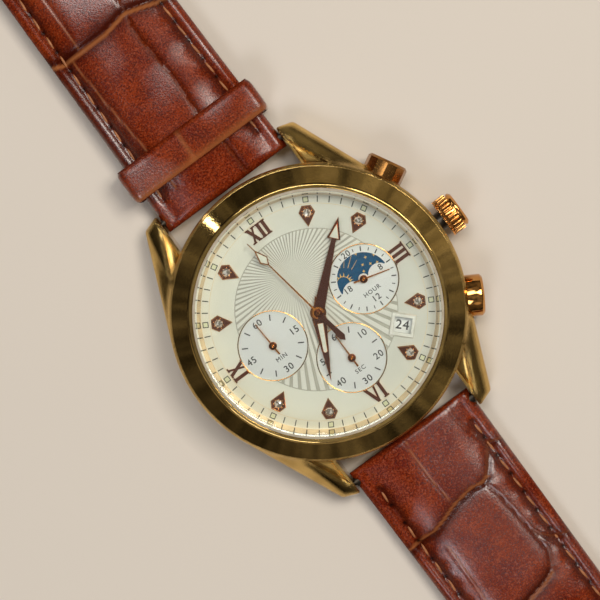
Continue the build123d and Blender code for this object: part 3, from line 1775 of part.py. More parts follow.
# Buckle frame: flat hoop with rounded far corners
with BuildPart() as buckle_frame:
    slab(
        Plane.XY.offset(buckle_bottom),
        (
            (-buckle_outer_half, buckle_start),
            (buckle_outer_half, buckle_start),
            (buckle_outer_half, buckle_end),
            (-buckle_outer_half, buckle_end),
        ),
        buckle_height,
    )
    fillet(buckle_frame.edges().filter_by(Axis.Z).group_by(Axis.Y)[-1], radius=buckle_corner)
    slab(
        Plane.XY.offset(buckle_bottom),
        (
            (-buckle_inner_width / 2, buckle_start - overrun),
            (buckle_inner_width / 2, buckle_start - overrun),
            (buckle_inner_width / 2, buckle_end - buckle_far_bar),
            (-buckle_inner_width / 2, buckle_end - buckle_far_bar),
        ),
        buckle_height,
        mode=Mode.SUBTRACT,
    )
    with BuildSketch(Plane.YZ) as frame_bores:
        with Locations((buckle_strap_end, buckle_bar_z)):
            Circle(buckle_bar_radius)
    extrude(frame_bores.sketch, amount=buckle_outer_half, both=True, mode=Mode.SUBTRACT)
finish(buckle_frame, "buckle_frame")

# Buckle bar: pin across the frame
with BuildPart() as buckle_bar:
    with BuildSketch(Plane.YZ) as bar_section:
        with Locations((buckle_strap_end, buckle_bar_z)):
            Circle(buckle_bar_radius)
    extrude(bar_section.sketch, amount=buckle_outer_half, both=True)
finish(buckle_bar, "buckle_bar")

# Buckle tang: tongue that turns on the bar and rests on the frame
with BuildPart() as buckle_tang:
    tang_bottom = buckle_top + tang_lift
    slab(
        Plane.YZ,
        (
            (buckle_strap_end, buckle_bar_z),
            (buckle_strap_end + tang_hub_radius, buckle_bar_z),
            (buckle_strap_end + 2 * tang_hub_radius, tang_bottom),
            (buckle_end + tang_overhang, tang_bottom),
            (buckle_end + tang_overhang, tang_bottom + tang_height / 2),
            (buckle_strap_end + 2 * tang_hub_radius, tang_bottom + tang_height),
            (buckle_strap_end, tang_bottom + tang_height / 2),
            (buckle_strap_end - tang_hub_radius, buckle_bar_z),
        ),
        tang_width / 2,
    )
    mirror(about=Plane.YZ)
    with BuildSketch(Plane.YZ) as tang_hub:
        with Locations((buckle_strap_end, buckle_bar_z)):
            Circle(tang_hub_radius)
    extrude(tang_hub.sketch, amount=tang_width / 2, both=True)
    with BuildSketch(Plane.YZ) as tang_bore:
        with Locations((buckle_strap_end, buckle_bar_z)):
            Circle(buckle_bar_radius + running_fit)
    extrude(tang_bore.sketch, amount=tang_width, both=True, mode=Mode.SUBTRACT)
finish(buckle_tang, "buckle_tang")
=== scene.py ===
"""Looks, studio and camera for the dress chronograph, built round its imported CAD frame.

Every size in a class is in millimetres, in the frame's own axes:
+Z out of the crystal, +Y to 12 o'clock, +X to the crown.
"""

import logging
import math
from collections.abc import Callable, Iterable, Iterator, Sequence
from contextlib import contextmanager
from dataclasses import dataclass
from enum import Enum

import bpy
import numpy as np
from mathutils import Matrix, Vector


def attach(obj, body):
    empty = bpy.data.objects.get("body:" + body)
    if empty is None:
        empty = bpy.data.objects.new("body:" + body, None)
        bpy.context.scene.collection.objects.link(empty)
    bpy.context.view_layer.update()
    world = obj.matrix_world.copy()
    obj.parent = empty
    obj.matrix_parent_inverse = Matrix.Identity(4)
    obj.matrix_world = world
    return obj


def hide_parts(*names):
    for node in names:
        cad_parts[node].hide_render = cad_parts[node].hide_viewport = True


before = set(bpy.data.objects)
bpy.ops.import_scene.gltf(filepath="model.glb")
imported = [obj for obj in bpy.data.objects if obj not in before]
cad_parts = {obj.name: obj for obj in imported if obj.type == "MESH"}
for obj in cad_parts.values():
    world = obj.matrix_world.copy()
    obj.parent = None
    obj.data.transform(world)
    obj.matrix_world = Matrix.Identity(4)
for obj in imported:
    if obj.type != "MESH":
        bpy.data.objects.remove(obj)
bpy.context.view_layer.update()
log = logging.getLogger("watch")

Pair = tuple[float, float]
Triple = tuple[float, float, float]
Quad = tuple[float, float, float, float]
Piece = bpy.types.Object
Tree = bpy.types.NodeTree
Socket = bpy.types.NodeSocket
Outputs = bpy.types.bpy_prop_collection
Tone = Socket | Quad | str

MM = 0.001
# Corners nearer to each other than this, in metres, are one
WELD = 1e-7
# Upward share of a normal above which a face looks up
TOP_FACE = 0.9
# How far a cutter runs past what it cuts
OVERRUN = 1.0
# Eased edge of the lettering and steps of its curves, before it is brought to size
LETTER_BEVEL = 0.014
LETTER_CURVE = 3

# Ranges that shader values are mapped from and onto; noise seldom leaves the last two
UNIT: Pair = (0.0, 1.0)
FALLING: Pair = (1.0, 0.0)
WIDE: Pair = (0.3, 0.7)
MIDDLING: Pair = (0.35, 0.65)
# Stretches of a pattern, and the origin
EVEN: Triple = (1.0, 1.0, 1.0)
FLAT: Triple = (1.0, 1.0, 0.0)
NOWHERE: Triple = (0.0, 0.0, 0.0)

# Places that the dial's relief, its prints, its finishes and the discs under it share
COUNTER: Pair = (-7.6, 0.0)
SECONDS: Pair = (0.0, -7.6)
DAY: Pair = (7.6, 0.0)
SUB_CENTRES = (COUNTER, SECONDS, DAY)
RAY_MIDDLE: Pair = (0.0, 0.45)
RAY_RADIUS = 11.05
WINDOW_DEGREES = 135.0
DATE_RADIUS = 11.5


# Plain geometry


def clock(radius: float, degrees: float) -> Pair:
    """Place at a radius and an angle counted clockwise from 12 o'clock.

    Args:
        radius: Distance from the centre.
        degrees: Angle from 12 o'clock.

    Returns:
        The x and y of the place.
    """
    return (radius * math.sin(math.radians(degrees)), radius * math.cos(math.radians(degrees)))


def beside(centre: Pair, offset: Pair) -> Pair:
    """Place at an offset from a centre."""
    return (centre[0] + offset[0], centre[1] + offset[1])


def scaled(unit: float, shares: Pair) -> Pair:
    """Both numbers of a pair times a unit."""
    return (unit * shares[0], unit * shares[1])


def rectangle(half_x: float, half_y: float) -> list[Pair]:
    """Corners of a rectangle about the origin."""
    return [(-half_x, -half_y), (half_x, -half_y), (half_x, half_y), (-half_x, half_y)]


def read(table: Sequence[Pair], place: np.ndarray | float) -> np.ndarray:
    """Value at a place, read off a table of places and values."""
    return np.interp(place, *zip(*table, strict=True))


def hump(gap: np.ndarray, height: float, middle: float, spread: float) -> np.ndarray:
    """Smooth rise to a height at a middle, as wide as the root of its spread."""
    return height * np.exp(-((gap - middle) ** 2) / spread)


def turned_to(degrees: float, middle: Pair = (0.0, 0.0)) -> Matrix:
    """Matrix that turns a mesh clockwise and moves it to a place in millimetres.

    Args:
        degrees: Clockwise turn about the upright axis.
        middle: Where the mesh's own origin goes.

    Returns:
        The matrix, in metres.
    """
    shift = Matrix.Translation((middle[0] * MM, middle[1] * MM, 0))
    return shift @ Matrix.Rotation(math.radians(-degrees), 4, "Z")


def spoke(degrees: float, radius: float, middle: Pair = (0.0, 0.0)) -> Matrix:
    """Matrix that moves a mesh out to a radius and turns it clockwise about a middle."""
    return turned_to(degrees, middle) @ Matrix.Translation((0, radius * MM, 0))


def arc(radius: float, middle: Pair, start: float, end: float, steps: int) -> list[Pair]:
    """Points on an arc, with angles counted from +X towards +Y.

    Args:
        radius: Radius of the arc.
        middle: Its centre.
        start: First angle in degrees.
        end: Last angle in degrees.
        steps: How many pieces the arc is cut into.

    Returns:
        The points, both ends among them.
    """
    angles = [math.radians(start + (end - start) * step / steps) for step in range(steps + 1)]
    return [(middle[0] + radius * math.cos(a), middle[1] + radius * math.sin(a)) for a in angles]


def circle(radius: float, middle: Pair, steps: int) -> list[Pair]:
    """Points round a whole circle, from +X on."""
    return arc(radius, middle, 0, 360 - 360 / steps, steps - 1)


def linear(code: str) -> Quad:
    """Turn an sRGB hex colour into the linear colour that a shader takes.

    Args:
        code: Six hex digits after a hash sign.

    Returns:
        Red, green, blue and an alpha of one.
    """
    shares = [int(code[i : i + 2], 16) / 255 for i in (1, 3, 5)]
    red, green, blue = (s / 12.92 if s <= 0.04045 else ((s + 0.055) / 1.055) ** 2.4 for s in shares)
    return (red, green, blue, 1.0)


# Modelling by hand's tools


class Element(Enum):
    """What a selection picks: corners, edges or faces."""

    VERT = (True, False, False)
    EDGE = (False, True, False)
    FACE = (False, False, True)


def pick(*pieces: Piece) -> None:
    """Select only these pieces, and make the first one active."""
    bpy.ops.object.select_all(action="DESELECT")
    for piece in pieces:
        piece.select_set(True)
    bpy.context.view_layer.objects.active = pieces[0]


@contextmanager
def editing(piece: Piece, element: Element, test: Callable[..., bool] | None = None) -> Iterator[None]:
    """Hold a piece in edit mode with some of it selected, and merge nothing else.

    Args:
        piece: The piece to edit.
        element: What is selected.
        test: Says of a corner's place and normal, a face's middle and normal, or an edge's two
            ends, whether it is selected. Everything is selected without it.
    """
    pick(piece)
    mesh = piece.data
    for group in (mesh.vertices, mesh.edges, mesh.polygons):
        group.foreach_set("select", [test is None] * len(group))
    if test is not None and element is Element.FACE:
        for face in mesh.polygons:
            face.select = test(face.center, face.normal)
    elif test is not None and element is Element.VERT:
        for corner in mesh.vertices:
            corner.select = test(corner.co, corner.normal)
    elif test is not None:
        for edge in mesh.edges:
            edge.select = test(*(mesh.vertices[index].co for index in edge.vertices))
    bpy.context.tool_settings.mesh_select_mode = element.value
    bpy.ops.object.mode_set(mode="EDIT")
    yield
    bpy.ops.object.mode_set(mode="OBJECT")


def added(name: str) -> Piece:
    """Name the piece that was just added, and put its place into its mesh."""
    piece = bpy.context.object
    piece.name = name
    piece.data.name = name
    pick(piece)
    bpy.ops.object.transform_apply(location=True, rotation=True, scale=True)
    return piece


def close_up(piece: Piece) -> Piece:
    """Merge a mesh's doubles, drop its collapsed faces and turn its faces outwards."""
    with editing(piece, Element.FACE):
        bpy.ops.mesh.remove_doubles(threshold=WELD)
        bpy.ops.mesh.dissolve_degenerate(threshold=WELD)
        bpy.ops.mesh.select_all(action="SELECT")
        bpy.ops.mesh.normals_make_consistent(inside=False)
    return piece


def smooth(piece: Piece, degrees: float = 35.0) -> Piece:
    """Shade a piece smoothly, except over edges sharper than the angle."""
    pick(piece)
    bpy.ops.object.shade_smooth_by_angle(angle=math.radians(degrees))
    return piece


def soften(piece: Piece, width: float, segments: int = 2, degrees: float = 30.0) -> Piece:
    """Round a piece's sharp edges.

    Args:
        piece: The piece.
        width: How far the rounding reaches from the edge.
        segments: How many strips it has.
        degrees: Edges sharper than this are rounded.

    Returns:
        The same piece.
    """
    bevel = piece.modifiers.new("bevel", "BEVEL")
    bevel.width = width * MM
    bevel.segments = segments
    bevel.limit_method = "ANGLE"
    bevel.angle_limit = math.radians(degrees)
    pick(piece)
    bpy.ops.object.modifier_apply(modifier=bevel.name)
    return smooth(piece)


def joined(name: str, pieces: Sequence[Piece]) -> Piece:
    """Join pieces into one."""
    pick(*pieces)
    if len(pieces) > 1:
        bpy.ops.object.join()
    pieces[0].name = name
    pieces[0].data.name = name
    return pieces[0]


def repeated(name: str, model: Piece, places: Iterable[Matrix]) -> Piece:
    """Copy a modelled shape to several places, each copy with its own mesh, as one piece.

    Args:
        name: Name of the finished piece.
        model: The shape, which is used up.
        places: Where the copies go, as matrices in metres.

    Returns:
        The piece.
    """
    twins = []
    for place in places:
        twin = bpy.data.objects.new(name, model.data.copy())
        twin.data.transform(place)
        bpy.context.scene.collection.objects.link(twin)
        twins.append(twin)
    bpy.data.objects.remove(model)
    return joined(name, twins)


def cut(piece: Piece, *tools: Piece) -> Piece:
    """Cut tools out of a piece. The tools don't touch each other, and are used up."""
    tool = joined("tool", tools)
    boolean = piece.modifiers.new("cut", "BOOLEAN")
    boolean.operation = "DIFFERENCE"
    boolean.solver = "EXACT"
    boolean.object = tool
    pick(piece)
    bpy.ops.object.modifier_apply(modifier=boolean.name)
    bpy.data.objects.remove(tool)
    return piece


def prism(name: str, outline: Sequence[Pair], bottom: float, top: float) -> Piece:
    """Extrude a flat outline upwards.

    Args:
        name: Name of the piece.
        outline: Its corners seen from above.
        bottom: Height of its lower face.
        top: Height of its upper face.

    Returns:
        The closed piece.
    """
    bpy.ops.mesh.primitive_circle_add(vertices=len(outline), radius=MM, fill_type="NGON")
    piece = added(name)
    for corner, (x, y) in zip(piece.data.vertices, outline, strict=True):
        corner.co = (x * MM, y * MM, bottom * MM)
    with editing(piece, Element.FACE):
        bpy.ops.mesh.extrude_region_move(TRANSFORM_OT_translate={"value": (0, 0, (top - bottom) * MM)})
    return close_up(piece)


def turned(name: str, profile: Sequence[Pair], middle: Pair = (0.0, 0.0), steps: int = 128) -> Piece:
    """Turn a closed profile about an upright axis, as on a lathe.

    Args:
        name: Name of the piece.
        profile: Corners as radius and height, in order round the section.
        middle: Place of the axis.
        steps: Faces round the axis.

    Returns:
        The closed piece.
    """
    bpy.ops.mesh.primitive_circle_add(vertices=len(profile), radius=MM, fill_type="NOTHING")
    piece = added(name)
    for corner, (radius, height) in zip(piece.data.vertices, profile, strict=True):
        corner.co = (radius * MM, 0, height * MM)
    with editing(piece, Element.EDGE):
        bpy.ops.mesh.spin(steps=steps, angle=2 * math.pi, center=(0, 0, 0), axis=(0, 0, 1))
    close_up(piece)
    piece.data.transform(turned_to(0.0, middle))
    return smooth(piece)


def lettering(
    name: str,
    words: str,
    height: float,
    middle: Pair,
    levels: Pair,
    degrees: float = 0.0,
    spacing: float = 1.1,
) -> Piece:
    """Thin raised lettering in Blender's own typeface.

    Args:
        name: Name of the piece.
        words: What it says.
        height: Height of its capitals.
        middle: Where the middle of the words goes.
        levels: Heights of its lower and upper face.
        degrees: Clockwise turn from upright at 12 o'clock.
        spacing: Stretch of the gaps between letters.

    Returns:
        The piece.
    """
    bpy.ops.object.text_add()
    text = bpy.context.object
    text.data.body = words
    text.data.extrude = 1.0
    text.data.bevel_depth = LETTER_BEVEL
    text.data.bevel_resolution = 0
    text.data.space_character = spacing
    text.data.resolution_u = LETTER_CURVE
    pick(text)
    bpy.ops.object.convert(target="MESH")
    piece = added(name)
    corners = np.array([corner.co for corner in piece.data.vertices])
    low, high = corners.min(0), corners.max(0)
    size = height / (high[1] - low[1])
    thickness = levels[1] - levels[0]
    stretch = Matrix.Diagonal((size * MM, size * MM, thickness * MM / 2, 1.0))
    centring = Matrix.Translation((-(low[0] + high[0]) / 2, -(low[1] + high[1]) / 2, 1.0))
    piece.data.transform(turned_to(degrees, middle) @ stretch @ centring)
    piece.data.transform(Matrix.Translation((0, 0, levels[0] * MM)))
    return close_up(piece)


def node_copy(name: str, node: str) -> Piece:
    """Merged copy of a CAD node's mesh, with its flat faces whole again.

    Args:
        name: Name of the new piece.
        node: Name of the CAD node.

    Returns:
        The piece, ready for bevels.
    """
    piece = bpy.data.objects.new(name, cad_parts[node].data.copy())
    piece.data.name = name
    bpy.context.scene.collection.objects.link(piece)
    piece.data.materials.clear()
    pick(piece)
    bpy.ops.mesh.customdata_custom_splitnormals_clear()
    with editing(piece, Element.FACE):
        bpy.ops.mesh.remove_doubles(threshold=WELD)
        bpy.ops.mesh.dissolve_limited(angle_limit=math.radians(0.5))
    return piece


def edge_sides(piece: Piece) -> dict[tuple[int, int], list[Vector]]:
    """Normals of the faces that meet at each edge."""
    sides: dict[tuple[int, int], list[Vector]] = {}
    for face in piece.data.polygons:
        for key in face.edge_keys:
            sides.setdefault(key, []).append(face.normal.copy())
    return sides


def bevel_edges(
    piece: Piece, keys: Iterable[tuple[int, int]], width: float, segments: int, clamp: bool
) -> Piece:
    """Bevel only some of a piece's edges.

    Args:
        piece: The piece.
        keys: Both corners of each edge.
        width: Width of the bevel.
        segments: How many strips it has.
        clamp: Whether narrow faces hold it back.

    Returns:
        The same piece.
    """
    corners = piece.data.vertices
    chosen = {frozenset(tuple(corners[index].co) for index in key) for key in keys}
    with editing(piece, Element.EDGE, lambda a, b: frozenset((tuple(a), tuple(b))) in chosen):
        bpy.ops.mesh.bevel(offset=width * MM, segments=segments, affect="EDGES", clamp_overlap=clamp)
    return piece


def bevel_rim(piece: Piece, top: float, width: float) -> Piece:
    """Bevel only the edges round a flat part's upper faces.

    Args:
        piece: The part.
        top: Height of its upper face.
        width: Width of the bevel.

    Returns:
        The same part.
    """
    corners = piece.data.vertices
    level = top * MM - 2 * WELD
    rim = [
        (a, b)
        for (a, b), sides in edge_sides(piece).items()
        if min(corners[a].co.z, corners[b].co.z) > level
        and max(side.z for side in sides) > TOP_FACE > min(side.z for side in sides)
    ]
    return bevel_edges(piece, rim, width, segments=1, clamp=True)


def dressed(
    piece: Piece, finish: "Finish", body: str, replaces: Sequence[str] = ()
) -> Piece:
    """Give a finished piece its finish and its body.

    Args:
        piece: The piece.
        finish: Its finish.
        body: CAD body that it moves with.
        replaces: CAD nodes that it stands for.

    Returns:
        The same piece.
    """
    piece.data.materials.clear()
    piece.data.materials.append(finish.material())
    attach(piece, body)
    if replaces:
        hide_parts(*replaces)
    log.info("%s rides on %s: %d faces", piece.name, body, len(piece.data.polygons))
    return piece


def refinished(finish: "Finish", *nodes: str) -> None:
    """Give CAD nodes a finish in place of their packed one."""
    for node in nodes:
        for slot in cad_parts[node].material_slots:
            slot.material = finish.material()


# Shader nodes


def add_node(
    tree: Tree,
    kind: str,
    values: dict[str | int, object] | None = None,
    links: dict[str | int, Socket] | None = None,
    **settings: object,
) -> bpy.types.Node:
    """Add a node with its settings, its sockets' values and the links into it.

    Args:
        tree: The material's node tree.
        kind: Blender's name for the node's type.
        values: Value of each socket that is set.
        links: Socket that feeds each linked one.
        settings: The node's own properties.

    Returns:
        The node.
    """
    node = tree.nodes.new(kind)
    for key, value in settings.items():
        setattr(node, key, value)
    for key, value in (values or {}).items():
        node.inputs[key].default_value = value
    for key, source in (links or {}).items():
        tree.links.new(source, node.inputs[key])
    return node


def calc(tree: Tree, operation: str, *sources: Socket | float) -> Socket:
    """Result of a sum on sockets and plain numbers, given in order."""
    values = {index: source for index, source in enumerate(sources) if isinstance(source, float)}
    links = {index: source for index, source in enumerate(sources) if not isinstance(source, float)}
    return add_node(tree, "ShaderNodeMath", values, links, operation=operation).outputs[0]


def vector_calc(tree: Tree, operation: str, vector: Socket, other: Sequence[float] = NOWHERE) -> Outputs:
    """Outputs of a sum on a vector and a fixed one."""
    return add_node(tree, "ShaderNodeVectorMath", {1: other}, {0: vector}, operation=operation).outputs


def axis(tree: Tree, vector: Socket, letter: str) -> Socket:
    """One axis of a vector."""
    return add_node(tree, "ShaderNodeSeparateXYZ", links={0: vector}).outputs[letter]


def noise(tree: Tree, vector: Socket, scale: float, detail: float) -> Socket:
    """Noise by its scale, for directions, which have no size in millimetres."""
    values = {"Scale": scale, "Detail": detail}
    return add_node(tree, "ShaderNodeTexNoise", values, {"Vector": vector}).outputs["Fac"]


def speckle(tree: Tree, vector: Socket, size: float, detail: float = 3.0) -> Socket:
    """Noise whose blotches have a real size in millimetres."""
    return noise(tree, vector, 1 / (size * MM), detail)


def span(tree: Tree, value: Socket, source: Pair = UNIT, target: Pair = UNIT) -> Socket:
    """Map a value from one range onto another, held at the ends."""
    values = dict(zip(("From Min", "From Max", "To Min", "To Max"), (*source, *target), strict=True))
    return add_node(tree, "ShaderNodeMapRange", values, {"Value": value}).outputs["Result"]


def blend(tree: Tree, share: Socket, first: Tone, second: Tone) -> Socket:
    """Mix two colours by a share.

    Args:
        tree: The node tree.
        share: Share of the second colour.
        first: Hex code, linear colour or socket at zero.
        second: Hex code, linear colour or socket at one.

    Returns:
        The colour's socket.
    """
    values: dict[str | int, object] = {}
    links: dict[str | int, Socket] = {0: share}
    for index, colour in ((6, first), (7, second)):
        if isinstance(colour, Socket):
            links[index] = colour
        else:
            values[index] = linear(colour) if isinstance(colour, str) else colour
    return add_node(tree, "ShaderNodeMix", values, links, data_type="RGBA").outputs[2]


def object_place(tree: Tree, scale: Sequence[float] = EVEN, turn: float = 0.0) -> Socket:
    """Object coordinates, stretched along each axis and turned by degrees about the upright one."""
    values = {"Scale": scale, "Rotation": (0.0, 0.0, math.radians(turn))}
    links = {"Vector": add_node(tree, "ShaderNodeTexCoord").outputs["Object"]}
    return add_node(tree, "ShaderNodeMapping", values, links).outputs["Vector"]


def bumped(
    tree: Tree, height: Socket, depth: float, strength: float = 1.0, under: Socket | None = None
) -> Socket:
    """Normal bent by a height pattern.

    Args:
        tree: The node tree.
        height: The pattern.
        depth: Its depth in millimetres.
        strength: Share of it that shows.
        under: Normal that it is laid on.

    Returns:
        The normal's socket.
    """
    links = {"Height": height} if under is None else {"Height": height, "Normal": under}
    values = {"Strength": strength, "Distance": depth * MM}
    return add_node(tree, "ShaderNodeBump", values, links).outputs["Normal"]


def attribute(tree: Tree, name: str) -> Socket:
    """Factor of one of the piece's own attributes."""
    return add_node(tree, "ShaderNodeAttribute", attribute_name=name).outputs["Fac"]


def principled(tree: Tree, values: dict[str | int, object], links: dict[str | int, Socket]) -> Socket:
    """Socket of a surface shader."""
    return add_node(tree, "ShaderNodeBsdfPrincipled", values, links).outputs["BSDF"]


# Finishes


@dataclass(frozen=True)
class Finish:
    """A surface as its maker leaves it. Each kind says how its nodes are laid."""

    name: str

    def material(self) -> bpy.types.Material:
        """Material of this finish, made once."""
        found = bpy.data.materials.get(self.name)
        if found is not None:
            return found
        made = bpy.data.materials.new(self.name)
        made.use_nodes = True
        made.node_tree.nodes.clear()
        surface = self.surface(made.node_tree)
        add_node(made.node_tree, "ShaderNodeOutputMaterial", links={"Surface": surface})
        return made

    def surface(self, tree: Tree) -> Socket:
        """Lay the nodes, and return the shader's socket."""
        raise NotImplementedError


class Grain(Enum):
    """How a metal's surface was worked: how far the pattern is drawn out, and whether it runs in rings."""

    POLISHED = (EVEN, False)
    BRUSHED = ((1.0, 0.04, 1.0), False)
    TURNED = (EVEN, True)


@dataclass(frozen=True)
class Metal(Finish):
    """Plated or bare metal. Its grain gives it streaks, rings or a fine frost."""

    colour: str
    roughness: float
    grain: Grain = Grain.POLISHED
    grain_size: float = 0.12
    depth: float = 0.002
    turn: float = 0.0
    edge: float = 0.0
    edge_samples: int = 4
    spread: Pair = (0.75, 1.3)
    haze_size: float = 3.0
    haze_detail: float = 7.0
    haze_tone: Triple = (0.72, 0.7, 0.66)

    def surface(self, tree: Tree) -> Socket:
        """Metal with worked grain, handling haze and, where asked, edges eased by the polisher."""
        stretch, in_rings = self.grain.value
        place = object_place(tree, stretch, self.turn)
        if in_rings:
            radius = vector_calc(tree, "LENGTH", place)["Value"]
            place = add_node(tree, "ShaderNodeCombineXYZ", links={"X": radius}).outputs[0]
        height = speckle(tree, place, self.grain_size)
        haze = span(tree, speckle(tree, object_place(tree), self.haze_size, self.haze_detail), MIDDLING)
        base = linear(self.colour)
        darker = (*(share * tone for share, tone in zip(base[:3], self.haze_tone, strict=True)), 1.0)
        under = None
        if self.edge > 0:
            radius = {"Radius": self.edge * MM}
            under = add_node(tree, "ShaderNodeBevel", radius, samples=self.edge_samples).outputs["Normal"]
        links = {
            "Base Color": blend(tree, haze, base, darker),
            "Roughness": span(tree, height, WIDE, scaled(self.roughness, self.spread)),
            "Normal": bumped(tree, height, self.depth, under=under),
        }
        return principled(tree, {"Metallic": 1.0}, links)


@dataclass(frozen=True)
class EdgedPlating(Finish):
    """Dark galvanic brown on the flat tops, with the gold below cut bright on every bevel and side."""

    top: str
    side: str
    roughness: float
    brush: float
    lit: float = 1.2
    facing: Pair = (TOP_FACE, 0.97)
    metallic: Pair = (0.1, 1.0)
    side_roughness: float = 0.16
    gleam: float = 0.15

    def surface(self, tree: Tree) -> Socket:
        """Brown satin where the face looks up, polished rose gold elsewhere."""
        normal = add_node(tree, "ShaderNodeNewGeometry").outputs["True Normal"]
        side = span(tree, axis(tree, normal, "Z"), self.facing, FALLING)
        streak = span(tree, speckle(tree, object_place(tree), self.brush), MIDDLING)
        base = linear(self.top)
        lit = (*(min(1.0, share * self.lit) for share in base[:3]), 1.0)
        links = {
            "Base Color": blend(tree, side, blend(tree, streak, base, lit), self.side),
            "Metallic": span(tree, side, UNIT, self.metallic),
            "Roughness": span(tree, side, UNIT, (self.roughness, self.side_roughness)),
        }
        return principled(tree, {"Specular IOR Level": self.gleam}, links)


@dataclass(frozen=True)
class Coating(Finish):
    """Paint, ink, lacquer, plastic or enamel: a coloured skin with a fine mottle and a set gloss."""

    colour: str
    shade: str
    roughness: float
    mottle: float
    grit: float
    depth: float = 0.001
    metallic: float = 0.0
    coat: float = 0.0
    gleam: float = 0.5
    coat_roughness: float = 0.1
    grit_detail: float = 2.0
    spread: Pair = (0.85, 1.15)

    def surface(self, tree: Tree) -> Socket:
        """Two close tones in soft blotches under a fine grit."""
        place = object_place(tree)
        blotch = span(tree, speckle(tree, place, self.mottle), WIDE)
        grit = speckle(tree, place, self.grit, self.grit_detail)
        values = {
            "Metallic": self.metallic,
            "Coat Weight": self.coat,
            "Coat Roughness": self.coat_roughness,
            "Specular IOR Level": self.gleam,
        }
        links = {
            "Base Color": blend(tree, blotch, self.colour, self.shade),
            "Roughness": span(tree, grit, WIDE, scaled(self.roughness, self.spread)),
            "Normal": bumped(tree, grit, self.depth),
        }
        return principled(tree, values, links)


@dataclass(frozen=True)
class DialFace(Finish):
    """Pearl lacquer over a silvered brass plate, with azured silver in the sunk sub-dials."""

    lacquer: str = "#ccccc3"
    rim: str = "#c3c2b2"
    dial_radius: float = 16.9
    # Painted shade: the lacquer greys to this tone across a span in X towards the crown
    shaded: str = "#b3b3aa"
    fall: Pair = (-6.0, 9.0)
    fall_share: Pair = (0.0, 0.8)
    silver: str = "#cdcecb"
    sunk_radius: float = 4.56
    wall: float = 0.02
    groove: float = 0.16
    groove_depth: float = 0.002
    groove_strength: float = 0.6
    pearl_size: float = 0.09
    pearl_depth: float = 0.0006
    metallic: Pair = (0.15, 0.45)
    roughness: Pair = (0.42, 0.3)

    def reach(self, tree: Tree, centre: Pair) -> Socket:
        """Distance from an upright axis, in metres."""
        middle = (*scaled(MM, centre), 0.0)
        return vector_calc(tree, "DISTANCE", object_place(tree, FLAT), middle)["Value"]

    def surface(self, tree: Tree) -> Socket:
        """Lacquer darkening slowly and warmly to the rim, greyed by painted shade towards the crown; fine
        rings of light inside the sub-dials.
        """
        nearest = self.reach(tree, SUB_CENTRES[0])
        for centre in SUB_CENTRES[1:]:
            nearest = calc(tree, "MINIMUM", nearest, self.reach(tree, centre))
        inside = span(tree, nearest, scaled(MM, (self.sunk_radius, self.sunk_radius + self.wall)), FALLING)
        outward = span(tree, self.reach(tree, (0.0, 0.0)), (0.0, self.dial_radius * MM))
        place = object_place(tree)
        # Painted shade, deepening towards the crown
        crown_side_shade = span(tree, axis(tree, place, "X"), scaled(MM, self.fall), self.fall_share)
        warm = blend(tree, crown_side_shade, blend(tree, outward, self.lacquer, self.rim), self.shaded)
        wave = calc(tree, "SINE", calc(tree, "MULTIPLY", nearest, 2 * math.pi / (self.groove * MM)))
        frost = bumped(tree, speckle(tree, place, self.pearl_size, 1.0), self.pearl_depth)
        azure = calc(tree, "MULTIPLY", wave, inside)
        links = {
            "Base Color": blend(tree, inside, warm, self.silver),
            "Metallic": span(tree, inside, UNIT, self.metallic),
            "Roughness": span(tree, inside, UNIT, self.roughness),
            "Normal": bumped(tree, azure, self.groove_depth, self.groove_strength, frost),
        }
        return principled(tree, {}, links)


@dataclass(frozen=True)
class PressedRays(Finish):
    """Silvered relief struck into the dial: bright lands and matt grooves between them, the grooves darkened
    by painted shade.
    """

    land: str = "#cfcec4"
    # Groove tone: painted shade in the sunk grooves and along the relief's outer edge
    groove: str = "#9a988b"
    levels: Pair = (6.218, 6.25)
    line: float = 0.09
    grit: float = 0.08
    grit_depth: float = 0.0006
    metallic: float = 0.2
    roughness: Pair = (0.55, 0.32)

    def surface(self, tree: Tree) -> Socket:
        """Tone by height, with painted shade in the lower grooves and along the outer edge, so that the rays
        fade together where they meet.
        """
        place = object_place(tree)
        raised = span(tree, axis(tree, place, "Z"), scaled(MM, self.levels))
        middle = (*scaled(MM, RAY_MIDDLE), 0.0)
        away = vector_calc(tree, "DISTANCE", object_place(tree, FLAT), middle)["Value"]
        edge = (RAY_RADIUS - 2 * self.line, RAY_RADIUS - self.line)
        raised = calc(tree, "MINIMUM", raised, span(tree, away, scaled(MM, edge), FALLING))
        links = {
            "Base Color": blend(tree, raised, self.groove, self.land),
            "Roughness": span(tree, raised, UNIT, self.roughness),
            "Normal": bumped(tree, speckle(tree, place, self.grit, 1.0), self.grit_depth),
        }
        return principled(tree, {"Metallic": self.metallic}, links)


@dataclass(frozen=True)
class ClearGlass(Finish):
    """Mineral glass, ground flat and polished: clear, with a thin bright edge."""

    tint: str = "#fbfdfb"
    index: float = 1.5
    haze: float = 6.0
    haze_roughness: Pair = (0.0, 0.012)

    def surface(self, tree: Tree) -> Socket:
        """Glass that lets the lamps through to the dial, with a breath of polishing haze."""
        haze = speckle(tree, object_place(tree), self.haze, 1.0)
        values = {"Base Color": linear(self.tint), "Transmission Weight": 1.0, "IOR": self.index}
        glass = principled(tree, values, {"Roughness": span(tree, haze, WIDE, self.haze_roughness)})
        clear = add_node(tree, "ShaderNodeBsdfTransparent", {"Color": linear(self.tint)}).outputs["BSDF"]
        path = add_node(tree, "ShaderNodeLightPath").outputs
        lit = calc(tree, "MAXIMUM", path["Is Shadow Ray"], path["Is Diffuse Ray"])
        return add_node(tree, "ShaderNodeMixShader", links={0: lit, 1: glass, 2: clear}).outputs[0]


